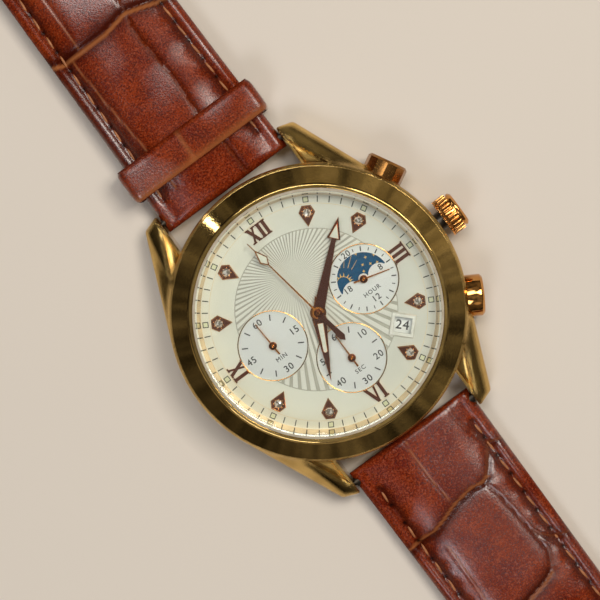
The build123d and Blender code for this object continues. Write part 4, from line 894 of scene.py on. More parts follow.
@dataclass(frozen=True)
class CutStone(Finish):
    """Foil-backed cut crystal, with painted glints: white and grey patches in its colour."""

    bright: str = "#fbfaf7"
    grey: str = "#98938b"
    flash_size: float = 0.25
    flash: Pair = (0.44, 0.54)
    metallic: float = 0.55
    roughness: float = 0.06
    coat_roughness: float = 0.02

    def surface(self, tree: Tree) -> Socket:
        """A hard bright body with flat facets, its white and grey patches painted glints laid by noise."""
        # Painted glints: white and grey patches by noise, standing for the facets' flashes
        flash = span(tree, speckle(tree, object_place(tree), self.flash_size, 0.0), self.flash)
        values = {
            "Metallic": self.metallic,
            "Roughness": self.roughness,
            "Coat Weight": 1.0,
            "Coat Roughness": self.coat_roughness,
        }
        return principled(tree, values, {"Base Color": blend(tree, flash, self.bright, self.grey)})


@dataclass(frozen=True)
class EmbossedLeather(Finish):
    """Calf embossed as reptile, aniline-dyed and glazed: warm depth, painted shade beside folds and seams,
    tan in the folds.
    """

    hide: str = "#6a1f0c"
    light: str = "#86300f"
    dark: str = "#2f0a04"
    # Lighter grain tone: partly real grain, partly painted sparkle
    bright: str = "#ad5430"
    tan: str = "#9c5f36"
    # Painted shade inside the stitch holes
    pierced: str = "#1c0905"
    edge_paint: str = "#3a170d"
    mottle: float = 3.5
    mottle_detail: float = 4.0
    pore: float = 0.2
    pores: Pair = (0.44, 0.62)
    pore_share: Pair = (0.0, 0.75)
    pore_depth: float = 0.045
    grain: float = 1.4
    grain_detail: float = 2.0
    grains: Pair = (0.52, 0.66)
    grain_share: Pair = (0.0, 0.4)
    # How dark the painted shade beside folds, seams and the shaded side gets
    burnish_share: Pair = (0.0, 0.85)
    roughness: Pair = (0.16, 0.3)
    glaze_patch: float = 11.0
    patches: Pair = (0.42, 0.6)
    gleam: Pair = (0.06, 0.6)
    coat: Pair = (0.0, 0.22)
    coat_roughness: float = 0.14

    def surface(self, tree: Tree) -> Socket:
        """Mottled dye, then the piece's own folds, painted shade, stitch holes darkened by painted shade and
        painted edges over it.
        """
        place = object_place(tree)
        mottle = span(tree, speckle(tree, place, self.mottle, self.mottle_detail), MIDDLING)
        fine = speckle(tree, place, self.pore)
        grain = speckle(tree, place, self.pore * self.grain, self.grain_detail)
        glaze = speckle(tree, place, self.glaze_patch, 1.0)
        dye = blend(tree, mottle, self.hide, self.light)
        # Dark pores and lighter grain speckles, the speckles partly painted sparkle; then painted shade from
        # folds, seams and the shaded side, tan folds, painted shade in the stitch holes, and edge paint
        for share, colour in (
            (span(tree, fine, self.pores, self.pore_share), self.dark),
            (span(tree, grain, self.grains, self.grain_share), self.bright),
            (span(tree, attribute(tree, "painted_shade"), UNIT, self.burnish_share), self.dark),
            (attribute(tree, "tan"), self.tan),
            (attribute(tree, "hole"), self.pierced),
            (attribute(tree, "edge"), self.edge_paint),
        ):
            dye = blend(tree, share, dye, colour)
        links = {
            "Base Color": dye,
            "Roughness": span(tree, fine, WIDE, self.roughness),
            "Normal": bumped(tree, fine, self.pore_depth),
            "Specular IOR Level": span(tree, glaze, self.patches, self.gleam),
            "Coat Weight": span(tree, glaze, self.patches, self.coat),
        }
        return principled(tree, {"Coat Roughness": self.coat_roughness}, links)


@dataclass(frozen=True)
class Backdrop(Finish):
    """Plain pale paper under the watch."""

    colour: str = "#d8cfc3"
    shade: float = 0.97
    drift: float = 60.0
    roughness: float = 0.9

    def surface(self, tree: Tree) -> Socket:
        """Almost even paper, with a slow drift in tone."""
        drift = speckle(tree, object_place(tree), self.drift, 1.0)
        base = linear(self.colour)
        near = (*(share * self.shade for share in base[:3]), 1.0)
        return principled(tree, {"Roughness": self.roughness}, {"Base Color": blend(tree, drift, base, near)})


# Yellow gold plated over polished steel: a mirror, slightly hazed and darkened in patches by handling
YELLOW_GOLD = Metal("yellow_gold_plate", "#dfbb74", 0.05, grain_size=0.3, depth=0.003, edge=0.08)
# The same plate on the case, polished until the lugs' edges ran soft: reflections flow round them
CASE_GOLD = Metal("case_gold_plate", "#dfbb74", 0.07, grain_size=0.4, depth=0.0012, edge=1.1)
# Turned gold trim: tiny warm points of light round the stones
DIAL_GOLD = Metal("turned_gold_trim", "#e6b077", 0.14, grain_size=0.15)
# Polished ring round a sub-dial: dark where it mirrors the room, with short bright arcs
RING_GOLD = Metal("polished_ring_gold", "#c69a60", 0.05, grain_size=0.5, depth=0.012)
# Brown plate on the caps over the arbors: nearly black, with a soft sheen
CAP_BROWN = Metal("brown_cap_plate", "#38190c", 0.34, grain_size=0.1)
# Rose gold plate on crown and reset pusher: warmer and a little softer than the case
ROSE_GOLD = Metal("rose_gold_plate", "#dea05a", 0.1, grain_size=0.4, depth=0.0003)
# The same gold brushed round the start pusher: dull streaks in place of a mirror
ROSE_BRUSHED = Metal("rose_gold_brushed", "#ae7c44", 0.22, Grain.BRUSHED, 0.08, 0.002)
# Copper gold needles: a satin that stays visible against the silver
COPPER_NEEDLE = Metal("copper_gold_needle", "#cc8238", 0.2, grain_size=0.1)
# Stainless steel turned on a lathe: fine rings that fan the light
TURNED_STEEL = Metal("turned_steel", "#c3c1bc", 0.3, Grain.TURNED, 0.09, 0.003)
# Drawn steel wire and rod: plain grey with a clean highlight
DRAWN_STEEL = Metal("drawn_steel", "#b9b8b5", 0.22, grain_size=0.1)
# Oiled spring steel: dark and dull in the gaps by the lugs
DARK_STEEL = Metal("oiled_spring_steel", "#4d4842", 0.4, grain_size=0.1)
# Nickel blasted with glass beads: an even pale frost
BLASTED_NICKEL = Metal("blasted_nickel", "#bdbab2", 0.38, grain_size=0.1, depth=0.003)
# Brass wheels: yellow, with the lathe's rings
WHEEL_BRASS = Metal("wheel_brass", "#c8a35a", 0.28, Grain.TURNED, 0.08, 0.002)
# Stamped soft iron: dark grey, with the rolling direction in it
SOFT_IRON = Metal("stamped_iron", "#8f8d89", 0.4, Grain.BRUSHED, 0.1, 0.003)
# Enamelled copper wire: red-brown, in fine slanting turns
COPPER_WIRE = Metal("enamelled_copper_wire", "#a85f2c", 0.3, Grain.BRUSHED, 0.05, 0.01, 45.0)
# Champagne-plated inner flange: mirrors the dial as a warm pale wall
CHAMPAGNE_WALL = Metal("champagne_rehaut", "#f7dcb8", 0.06, grain_size=0.2, depth=0.0004)
# Dark plated hands: flat brown tops, with a copper line where the edge is cut
BROWN_HANDS = EdgedPlating("brown_plated_hands", "#44241a", "#d08a50", 0.2, 0.08)
# The same on markers and numerals, a shade lighter, with paler edges
BROWN_MARKERS = EdgedPlating("brown_plated_markers", "#4d2a1e", "#e2ab7a", 0.26, 0.12)
# Pearl lacquer: a warm white, greyed towards the crown by painted shade
PEARL_DIAL = DialFace("pearl_dial_lacquer")
# Struck rays: silver lands and grooves greyed by painted shade, fanning from above the centre
STRUCK_RAYS = PressedRays("struck_ray_relief")
# Black pad print: crisp and nearly matt
BLACK_INK = Coating("black_pad_print", "#201e1b", "#2b2824", 0.5, 0.4, 0.05)
# Minute track print: black with an olive cast
OLIVE_INK = Coating("olive_pad_print", "#25241d", "#302f26", 0.5, 0.4, 0.05)
# Pale gold print: a hairline that shows only at a slant
FINE_GOLD_INK = Coating("pale_gold_print", "#c9b489", "#bda678", 0.4, 0.4, 0.05, metallic=0.3)
# Luminous filling of the hands: chalky greenish white
LUME = Coating("luminous_filling", "#dadcce", "#cfd1c0", 0.6, 0.5, 0.06, 0.002)
# Luminous squares of the track: the same paste, greener and thinner
SQUARE_LUME = Coating("luminous_square", "#c6cbac", "#babf9e", 0.6, 0.3, 0.06, 0.002)
# Date ring lacquer: the whitest thing on the dial
WHITE_DATE = Coating("white_date_lacquer", "#f2f2ee", "#e8e8e4", 0.35, 2.0, 0.05)
# Silvered date frame: pale, with a faint metal sheen on its bevels
DATE_FRAME_SILVER = Coating("silvered_date_frame", "#ecebe2", "#dfddd2", 0.25, 1.0, 0.05, metallic=0.35)
# Blue disc enamel: deep and even, almost without gloss under the dial
BLUE_ENAMEL = Coating("blue_disc_enamel", "#064c72", "#053f60", 0.45, 0.8, 0.06, 0.001, gleam=0.12)
# Gold print on the disc: dull straw, brighter at a slant
DISC_GOLD_INK = Coating("gold_disc_print", "#cfae62", "#b9964b", 0.35, 0.3, 0.05, metallic=0.55)
# Mineral glass: clear over the dial, bright only along its edge
MINERAL_GLASS = ClearGlass("mineral_glass")
# Foiled crystal stones: white and grey painted glints side by side
CRYSTAL_STONE = CutStone("foiled_crystal_stone")
# Nylon seal round the glass: a milky tan ring
TAN_SEAL = Coating("tan_nylon_seal", "#b6ab98", "#a59a86", 0.25, 1.0, 0.06, coat=0.2)
# Rubber seal of the case back: black and matt
BLACK_SEAL = Coating("black_rubber_seal", "#1d1c1b", "#262523", 0.6, 0.6, 0.06)
# Moulded acetal ring round the movement: off-white plastic
MOULDED_RING = Coating("moulded_acetal_ring", "#dcd9d1", "#cfccc3", 0.45, 2.0, 0.1, 0.002)
# Circuit board: green resist under a thin gloss
BOARD_RESIN = Coating("solder_resist_green", "#1f5a3a", "#17492f", 0.3, 0.8, 0.1, 0.002, coat=0.3)
# Glazed embossed calf: red-brown with dark pores, tan folds, painted shade beside folds and seams, and
# patches of gloss
GLAZED_CALF = EmbossedLeather("glazed_embossed_calf")
# Nubuck lining: dry tan nap without any gloss
LINING_NUBUCK = Coating("nubuck_lining", "#8f5a36", "#7d4c2c", 0.85, 1.2, 0.12, 0.02)
# Waxed linen thread: tan, with the twist's fine grit
WAXED_THREAD = Coating("waxed_linen_thread", "#b0703f", "#8a5229", 0.5, 0.5, 0.08, 0.02)


# The watch


@dataclass
class CaseWork:
    """Case, bezel, glass and the controls at its side."""

    lug_round: float = 0.32
    lug_root: float = 20.25
    lug_sharp: float = 20.0
    least_edge: float = 0.2
    crown_round: float = 0.045
    pusher_round: float = 0.06
    start_sharp: float = 8.0
    start_shade: float = 15.0

    def build(self) -> None:
        """Finish the case and model what the plain solids leave out."""
        case = self.round_lugs(node_copy("case_polished", "mid_case"))
        dressed(case, CASE_GOLD, "case", ["mid_case"])
        refinished(YELLOW_GOLD, "bezel")
        refinished(TURNED_STEEL, "case_back")
        refinished(TAN_SEAL, "crystal_gasket")
        refinished(BLACK_SEAL, "case_back_gasket")
        refinished(MINERAL_GLASS, "crystal")
        refinished(CHAMPAGNE_WALL, "flange_ring")
        refinished(DARK_STEEL, "spring_bars", "crown_tube")
        refinished(DRAWN_STEEL, "crown_stem", "pusher_tubes", "setting_lever")
        refinished(DRAWN_STEEL, "start_pusher_spring", "reset_pusher_spring")
        self.controls()

    def round_lugs(self, case: Piece) -> Piece:
        """Round the lugs' long edges, as the polishing wheel leaves them.

        Args:
            case: Copy of the case.

        Returns:
            The same piece.
        """
        keys = []
        for key, (first, second) in edge_sides(case).items():
            a, b = (case.data.vertices[index].co for index in key)
            outside = min(a.xy.length, b.xy.length) > self.lug_root * MM
            lengthy = (a - b).length > self.least_edge * MM
            if outside and lengthy and first.angle(second) > math.radians(self.lug_sharp):
                keys.append(key)
        return smooth(bevel_edges(case, keys, self.lug_round, segments=3, clamp=False))

    def controls(self) -> None:
        """Crown and pushers with the edges eased, as tumbling leaves them."""
        crown = soften(node_copy("crown_eased", "crown"), self.crown_round)
        dressed(crown, ROSE_GOLD, "crown_work", ["crown"])
        start = node_copy("start_pusher_eased", "start_pusher")
        soften(start, self.pusher_round, segments=1, degrees=self.start_sharp)
        smooth(start, self.start_shade)
        dressed(start, ROSE_BRUSHED, "start_button", ["start_pusher"])
        reset = soften(node_copy("reset_pusher_eased", "reset_pusher"), self.pusher_round)
        dressed(reset, ROSE_GOLD, "reset_button", ["reset_pusher"])


@dataclass
class DialWork:
    """Dial, its relief and prints, the hour markers and their stones."""

    top: float = 6.2
    sunk: float = 6.05
    print_thickness: float = 0.02
    bite: float = 0.005
    sub_outer: float = 4.85
    centre_hole: float = 1.25
    hole_steps: int = 128
    window: Pair = (2.45, 2.15)
    ray_count: int = 80
    ray_meeting: Pair = (0.0, 5.9)
    ray_land_share: float = 0.54
    ray_step_share: float = 0.06
    ray_levels: Quad = (6.19, 6.206, 6.234, 6.262)
    track_radius: float = 15.3
    tick: Pair = (0.15, 0.84)
    square: float = 0.8
    square_line: float = 0.12
    corner: float = 0.015
    line_radius: float = 14.72
    line_width: float = 0.05
    line_steps: int = 192
    figure_height: float = 0.95
    day_figure_height: float = 0.86
    day_figures: tuple[tuple[int, str, float], ...] = (
        (0, "20", 4.06),
        (90, "8", 2.75),
        (180, "12", 3.02),
        (270, "18", 2.5),
    )
    label_height: float = 0.6
    label_spacing: float = 1.22
    label_drop: float = 1.95
    figure_radius: float = 3.62
    sub_tick: Pair = (0.17, 0.85)
    sub_tick_radius: float = 3.8
    day_tick_radius: float = 4.08
    day_ticks: tuple[Pair, Pair] = ((0.17, 0.66), (0.12, 0.45))
    stone_distance: float = 13.5
    stone_radius: float = 0.56
    stone_table: float = 0.3
    stone_levels: Quad = (6.2, 6.46, 6.5, 6.68)
    marker_top: float = 6.5
    bead_radius: float = 0.12
    bead_circle: float = 0.66
    bead_count: int = 8
    numeral_top: float = 6.45
    numeral_edge: float = 0.05
    marker_edge: float = 0.06
    ring_round: float = 0.05
    marker_hours: tuple[int, ...] = (1, 2, 4, 5, 7, 8, 10, 11)

    def build(self) -> None:
        """Dress the dial and add everything printed or set on it."""
        refinished(PEARL_DIAL, "dial_plate")
        rings = soften(node_copy("subdial_rings_eased", "subdial_rings"), self.ring_round, degrees=60.0)
        dressed(rings, RING_GOLD, "case", ["subdial_rings"])
        refinished(DATE_FRAME_SILVER, "date_frame")
        markers = bevel_rim(node_copy("markers_edged", "hour_markers"), self.marker_top, self.marker_edge)
        dressed(markers, BROWN_MARKERS, "case", ["hour_markers"])
        self.rays()
        self.minute_track()
        self.sub_dials()
        self.stones()
        numerals = node_copy("numerals_edged", "roman_numerals")
        bevel_rim(numerals, self.numeral_top, self.numeral_edge)
        dressed(numerals, BROWN_MARKERS, "case", ["roman_numerals"])

    def printed(self, piece: Piece, ink: Finish = BLACK_INK) -> None:
        """Dress a print, which goes with the dial."""
        dressed(piece, ink, "case")

    def levels(self, floor: float) -> Pair:
        """Lower and upper height of a print on a face at the height given."""
        return (floor - self.bite, floor + self.print_thickness)

    def stamp(self, size: Pair, floor: float) -> Piece:
        """Printed bar at the dial's centre: a plane, raised, with its corners eased.

        Args:
            size: Width and length of the bar.
            floor: Height of the face under it.

        Returns:
            The bar, pointing to 12 o'clock.
        """
        low, high = self.levels(floor)
        bpy.ops.mesh.primitive_plane_add(size=MM, location=(0, 0, low * MM))
        bar = bpy.context.object
        bar.scale = (size[0], size[1], 1.0)
        bar = added("bar")
        with editing(bar, Element.FACE):
            bpy.ops.mesh.extrude_region_move(TRANSFORM_OT_translate={"value": (0, 0, (high - low) * MM)})
        close_up(bar)
        with editing(bar, Element.EDGE, lambda a, b: abs(a.z - b.z) > WELD):
            bpy.ops.mesh.bevel(offset=self.corner * MM, segments=1, affect="EDGES")
        return bar

    def rays(self) -> None:
        """Struck relief: lands and grooves that meet above the centre, cut round the sub-dials."""
        foot, groove, meeting, land = (level * MM for level in self.ray_levels)
        bpy.ops.mesh.primitive_circle_add(vertices=4 * self.ray_count, radius=MM, fill_type="TRIFAN")
        fan = added("ray_relief")
        pitch = 2 * math.pi / self.ray_count
        slope = self.ray_step_share
        shares = (0.0, self.ray_land_share, self.ray_land_share + slope, 1 - slope)
        rim = [corner for corner in fan.data.vertices if corner.co.length > MM / 2]
        hub = next(corner for corner in fan.data.vertices if corner.co.length < MM / 2)
        hub.co = (*scaled(MM, self.ray_meeting), meeting)
        rim.sort(key=lambda corner: math.atan2(corner.co.y, corner.co.x))
        gap_x, gap_y = beside(self.ray_meeting, scaled(-1, RAY_MIDDLE))
        for index, corner in enumerate(rim):
            angle = (index // 4 + shares[index % 4]) * pitch - math.pi
            along = gap_x * math.cos(angle) + gap_y * math.sin(angle)
            reach = math.sqrt(along**2 + RAY_RADIUS**2 - gap_x**2 - gap_y**2) - along
            place = beside(self.ray_meeting, (reach * math.cos(angle), reach * math.sin(angle)))
            corner.co = (*scaled(MM, place), land if index % 4 < 2 else groove)
        drawn = len(fan.data.vertices)
        with editing(fan, Element.FACE):
            bpy.ops.mesh.extrude_region_move(TRANSFORM_OT_translate={"value": (0, 0, foot - land)})
        for corner in fan.data.vertices[drawn:]:
            corner.co.z = foot
        close_up(fan)
        low, high = self.ray_levels[0] - OVERRUN, self.ray_levels[3] + OVERRUN
        holes = [(centre, self.sub_outer) for centre in SUB_CENTRES] + [((0.0, 0.0), self.centre_hole)]
        for centre, radius in holes:
            cut(fan, prism("hole_tool", circle(radius, centre, self.hole_steps), low, high))
        window = prism("window_tool", rectangle(*scaled(0.5, self.window)), low, high)
        window.data.transform(turned_to(WINDOW_DEGREES - 90.0, clock(DATE_RADIUS, WINDOW_DEGREES)))
        self.printed(cut(fan, window), STRUCK_RAYS)

    def minute_track(self) -> None:
        """Minute ticks, luminous squares in their printed borders, and the fine circle inside them."""
        spots = [spoke(6.0 * minute, self.track_radius) for minute in range(60)]
        singles = [spot for minute, spot in enumerate(spots) if minute % 5]
        self.printed(repeated("minute_ticks", self.stamp(self.tick, self.top), singles), OLIVE_INK)
        border = self.stamp((self.square, self.square), self.top)
        inner = self.square / 2 - self.square_line
        hollow = prism("inner_tool", rectangle(inner, inner), self.top - OVERRUN, self.top + OVERRUN)
        self.printed(repeated("square_borders", cut(border, hollow), spots[::5]), OLIVE_INK)
        low, high = self.levels(self.top)
        filling = prism("filling", rectangle(inner, inner), low, high + self.print_thickness)
        soften(filling, self.print_thickness, segments=1)
        self.printed(repeated("luminous_squares", filling, spots[::5]), SQUARE_LUME)
        near, far = (self.line_radius + side * self.line_width / 2 for side in (-1, 1))
        section = [(near, low), (far, low), (far, high), (near, high)]
        self.printed(turned("chapter_line", section, steps=self.line_steps), FINE_GOLD_INK)

    def sub_dials(self) -> None:
        """Figures, unit marks and ticks of the three sub-dials."""
        levels = self.levels(self.sunk)
        sixty = [(90 * step, str(15 * step or 60), self.figure_radius) for step in range(4)]
        tens = [(60 * step, str(10 * step or 60), self.figure_radius) for step in range(6)]
        for name, centre, figures, height in (
            ("counter", COUNTER, sixty, self.figure_height),
            ("seconds", SECONDS, tens, self.figure_height),
            ("day", DAY, self.day_figures, self.day_figure_height),
        ):
            parts = [
                lettering("part", words, height, beside(centre, clock(radius, degrees)), levels)
                for degrees, words, radius in figures
            ]
            self.printed(joined(f"{name}_figures", parts))
        height, spacing = self.label_height, self.label_spacing
        units = (("counter", "MIN"), ("seconds", "SEC"), ("day", "HOUR"))
        for (name, unit), centre in zip(units, SUB_CENTRES, strict=True):
            middle = beside(centre, (0.0, -self.label_drop))
            self.printed(lettering(f"{name}_unit", unit, height, middle, levels, spacing=spacing))
        for name, centre, figures in (("counter", COUNTER, sixty), ("seconds", SECONDS, tens)):
            taken = {degrees for degrees, _, _ in figures}
            free = [degrees for degrees in range(0, 360, 30) if degrees not in taken]
            marks = [spoke(degrees, self.sub_tick_radius, centre) for degrees in free]
            self.printed(repeated(f"{name}_ticks", self.stamp(self.sub_tick, self.sunk), marks))
        for parity, size in enumerate(self.day_ticks):
            hours = [hour for hour in range(1, 24) if hour % 2 == parity]
            marks = [spoke(15.0 * hour, self.day_tick_radius, DAY) for hour in hours]
            self.printed(repeated(f"day_ticks_{parity}", self.stamp(size, self.sunk), marks))

    def stones(self) -> None:
        """Eight cut stones, each in a ring of grains raised from its marker."""
        foot, girdle, crown, table = self.stone_levels
        wide, flat = self.stone_radius, self.stone_table
        section = [(0.0, foot), (wide, foot), (wide, girdle), (flat, table), (0.0, table)]
        stone = turned("stone", section, steps=8)
        above = crown * MM
        with editing(stone, Element.EDGE, lambda a, b: min(a.z, b.z) > above and a.xy.length > MM / 10):
            bpy.ops.mesh.bevel(offset=flat * MM / 3, segments=1, affect="EDGES")
        for face in stone.data.polygons:
            face.use_smooth = False
        places = [spoke(30.0 * hour, self.stone_distance) for hour in self.marker_hours]
        dressed(repeated("cut_stones", stone, places), CRYSTAL_STONE, "case", ["marker_stones"])
        seat = (0, self.bead_circle * MM, self.marker_top * MM)
        bpy.ops.mesh.primitive_ico_sphere_add(subdivisions=1, radius=self.bead_radius * MM, location=seat)
        bead = added("bead")
        with editing(bead, Element.FACE):
            bpy.ops.mesh.subdivide(number_cuts=1, smoothness=1.0)
        turns = [turned_to(360.0 / self.bead_count * (step + 0.5)) for step in range(self.bead_count)]
        grains = repeated("grains", bead, [place @ turn for place in places for turn in turns])
        dressed(smooth(grains, degrees=60.0), DIAL_GOLD, "case")


@dataclass
class HandWork:
    """Hands, their luminous fillings and the caps on their arbors."""

    edge: float = 0.07
    thickness: float = 0.15
    hour_bottom: float = 6.8
    minute_bottom: float = 7.12
    seconds_bottom: float = 7.5
    small_bottom: float = 6.38
    small_boss: float = 0.12
    sink: float = 0.03
    tail_start: float = 0.5
    hour_slot: Pair = (1.5, 5.2)
    hour_slot_widths: Pair = (0.72, 0.48)
    minute_arrow: Pair = (10.3, 12.15)
    minute_arrow_half: float = 0.61
    lozenge: Triple = (9.42, 10.2, 11.62)
    lozenge_half: float = 0.515
    hour_degrees: float = 205.8
    minute_degrees: float = 48.3
    seconds_degrees: float = -9.2
    cap_radii: Triple = (0.58, 0.24, 0.12)
    small_cap_radii: Triple = (0.5, 0.22, 0.07)
    cap_rise: float = 0.1
    cap_steps: int = 40

    def build(self) -> None:
        """Edge the hands, fill them and cap them."""
        self.hand("hour_hand", "hour_work", self.hour_bottom, BROWN_HANDS)
        self.hand("minute_hand", "minute_work", self.minute_bottom, BROWN_HANDS)
        self.needle()
        refinished(COPPER_NEEDLE, "small_seconds_hand", "minute_counter_hand", "day_hand")
        self.fillings()
        self.caps()

    def hand(self, node: str, body: str, bottom: float, finish: Finish) -> None:
        """Copy of a hand with a bright cut round its upper face."""
        top = bottom + self.thickness
        piece = bevel_rim(node_copy(f"{node}_edged", node), top, self.edge)
        dressed(piece, finish, body, [node])

    def needle(self) -> None:
        """Central seconds hand: a copper needle, and its counterweight plated brown."""
        across = Vector((*clock(1.0, self.seconds_degrees), 0.0))
        middle = across * -self.tail_start * MM
        for name, finish, side in (
            ("seconds_needle", COPPER_NEEDLE, "clear_inner"),
            ("seconds_tail", BROWN_HANDS, "clear_outer"),
        ):
            piece = node_copy(name, "chrono_seconds_hand")
            bevel_rim(piece, self.seconds_bottom + self.thickness, self.edge / 2)
            with editing(piece, Element.FACE):
                bpy.ops.mesh.bisect(plane_co=middle, plane_no=across, use_fill=True, **{side: True})
            dressed(close_up(piece), finish, "chrono_work", ["chrono_seconds_hand"])

    def fillings(self) -> None:
        """Luminous fillings, level a little below the hands' upper faces."""
        start, end = self.hour_slot
        foot, half = (width / 2 for width in self.hour_slot_widths)
        outline = [*arc(half, (0.0, end), 0, 180, 12), (-foot, start), (foot, start)]
        self.filling("hour_filling", outline, self.hour_bottom, self.hour_degrees, "hour_work")
        root, tip = self.minute_arrow
        outline = [(-self.minute_arrow_half, root), (self.minute_arrow_half, root), (0.0, tip)]
        self.filling("minute_filling", outline, self.minute_bottom, self.minute_degrees, "minute_work")
        near, wide, far = self.lozenge
        outline = [(0.0, near), (self.lozenge_half, wide), (0.0, far), (-self.lozenge_half, wide)]
        self.filling("seconds_filling", outline, self.seconds_bottom, self.seconds_degrees, "chrono_work")

    def filling(self, name: str, outline: Sequence[Pair], bottom: float, degrees: float, body: str) -> None:
        """One filling: its outline raised, turned with its hand and softly domed."""
        piece = prism(name, outline, bottom + self.sink, bottom + self.thickness - self.sink)
        piece.data.transform(turned_to(degrees))
        dressed(soften(piece, self.sink), LUME, body)

    def caps(self) -> None:
        """Dark discs over the arbors, each with a small gold ring round its own dark dot."""
        boss = self.thickness + self.small_boss
        self.cap("centre_cap", (0.0, 0.0), self.seconds_bottom + boss, self.cap_radii, "chrono_work")
        for name, centre, body in (
            ("small_seconds_cap", SECONDS, "small_seconds_work"),
            ("minute_counter_cap", COUNTER, "counter_work"),
            ("day_cap", DAY, "day_work"),
        ):
            self.cap(name, centre, self.small_bottom + boss, self.small_cap_radii, body)

    def cap(self, name: str, centre: Pair, floor: float, radii: Triple, body: str) -> None:
        """One cap: a plated disc, and the gold ring set in it.

        Args:
            name: Name of the cap.
            centre: Its axis.
            floor: Height of the boss under it.
            radii: Radius of the disc, and the gold ring's outer and inner radius.
            body: Body that it turns with.
        """
        disc, outer, inner = radii
        # Radii, and heights as shares of the cap's rise
        plate = [(0.0, -1.0), (disc, -1.0), (disc, 0.3), (disc * 0.92, 0.5), (0.0, 0.5)]
        ring = [(inner, 0.4), (outer, 0.4), (outer, 0.7), ((outer + inner) / 2, 1.0), (inner, 0.7)]
        for part, section, finish in (("disc", plate, CAP_BROWN), ("ring", ring, COPPER_NEEDLE)):
            profile = [(radius, floor + share * self.cap_rise) for radius, share in section]
            dressed(turned(f"{name}_{part}", profile, centre, self.cap_steps), finish, body)


@dataclass
class DiscWork:
    """Sun and stars on the 24-hour disc, and the figures on the date ring."""

    face: float = 5.72
    thickness: float = 0.02
    stars: tuple[Pair, ...] = (
        (1.1, 3.3),
        (1.9, 2.2),
        (3.0, 1.8),
        (1.0, 1.6),
        (1.95, 1.1),
        (2.8, 0.75),
        (0.62, 0.8),
    )
    star_radii: Pair = (0.25, 0.085)
    star_turn: float = 20.0
    sun: Pair = (-2.57, 1.06)
    sun_radius: float = 0.9
    sun_reach: Pair = (-35.0, 165.0)
    line: float = 0.07
    flame_angles: tuple[float, ...] = (-10.0, 5.0, 24.0, 53.0, 75.0, 98.0, 122.0, 145.0)
    flame: Triple = (0.95, 1.52, 0.09)
    beams: tuple[Triple, ...] = ((66.5, 2.15, 2.5), (52.7, 2.12, 3.1), (38.4, 2.2, 3.9), (24.5, 2.2, 3.65))
    beam_taper: float = 0.6
    date_face: float = 5.34
    date_height: float = 1.28
    date_shown: int = 24
    date_count: int = 31

    def build(self) -> None:
        """Dress the disc and the ring."""
        refinished(BLUE_ENAMEL, "sun_star_disc")
        refinished(WHITE_DATE, "date_ring")
        self.star_field()
        self.sunrise()
        self.dates()

    def levels(self, floor: float) -> Pair:
        """Lower and upper height of a print on a face at the height given."""
        return (floor - self.thickness / 4, floor + self.thickness)

    def ornament(self, outline: Sequence[Pair], degrees: float, middle: Pair) -> Piece:
        """Printed shape on the disc, drawn upright, then turned clockwise and moved to its middle."""
        part = prism("part", outline, *self.levels(self.face))
        part.data.transform(turned_to(degrees, middle))
        return part

    def halves(self, name: str, parts: Sequence[Piece]) -> None:
        """Put a half's ornament, drawn about the disc's own centre, on the disc and again half a turn on."""
        places = [turned_to(degrees, DAY) for degrees in (0.0, 180.0)]
        dressed(repeated(name, joined("model", parts), places), DISC_GOLD_INK, "day_work")

    def star_field(self) -> None:
        """Small four-pointed stars, scattered as on the disc in the picture."""
        points = [clock(self.star_radii[step % 2], 45.0 * step) for step in range(8)]
        turns = [self.star_turn * index for index in range(len(self.stars))]
        stars = [self.ornament(points, turn, place) for turn, place in zip(turns, self.stars, strict=True)]
        self.halves("disc_stars", stars)

    def sunrise(self) -> None:
        """Rising sun: a thin arc, pointed flames round it and long beams above."""
        first, last = self.sun_reach
        outer = arc(self.sun_radius + self.line, self.sun, first, last, 32)
        inner = arc(self.sun_radius, self.sun, last, first, 32)
        parts = [self.ornament(outer + inner, 0.0, (0.0, 0.0))]
        root, tip, half = self.flame
        for degrees in self.flame_angles:
            parts.append(self.ornament([(-half, root), (half, root), (0.0, tip)], 90.0 - degrees, self.sun))
        foot = self.line / 2
        head = foot * self.beam_taper
        for degrees, start, end in self.beams:
            outline = [(-foot, start), (foot, start), (head, end), (-head, end)]
            parts.append(self.ornament(outline, 90.0 - degrees, self.sun))
        self.halves("disc_sun", parts)

    def dates(self) -> None:
        """Thirty-one figures, each reading outwards, with the shown one in the window."""
        parts = []
        for day in range(1, self.date_count + 1):
            degrees = WINDOW_DEGREES + (day - self.date_shown) * 360.0 / self.date_count
            middle, levels = clock(DATE_RADIUS, degrees), self.levels(self.date_face)
            parts.append(lettering("date", str(day), self.date_height, middle, levels, degrees - 90.0))
        dressed(joined("date_figures", parts), BLACK_INK, "calendar")


@dataclass
class Movement:
    """Finishes of the works under the dial."""

    brass: tuple[str, ...] = (
        "centre_wheel",
        "third_wheel",
        "small_seconds_wheel",
        "cannon_pinion",
        "minute_wheel",
        "hour_wheel",
        "day_intermediate_wheel",
        "day_wheel",
        "counter_intermediate_wheel",
        "minute_counter_wheel",
        "chrono_arbor",
    )

    def build(self) -> None:
        """Give each part of the movement its own metal, resin or wire."""
        refinished(WHEEL_BRASS, *self.brass)
        refinished(BLASTED_NICKEL, "main_plate", "train_bridge")
        refinished(MOULDED_RING, "movement_ring")
        refinished(BOARD_RESIN, "circuit_board")
        refinished(COPPER_WIRE, "motor_coils")
        refinished(SOFT_IRON, "motor_stators")
        refinished(TURNED_STEEL, "battery")
        refinished(DRAWN_STEEL, "movement_screws", "date_finger")


Fold = tuple[tuple[Pair, ...], float, float, float]


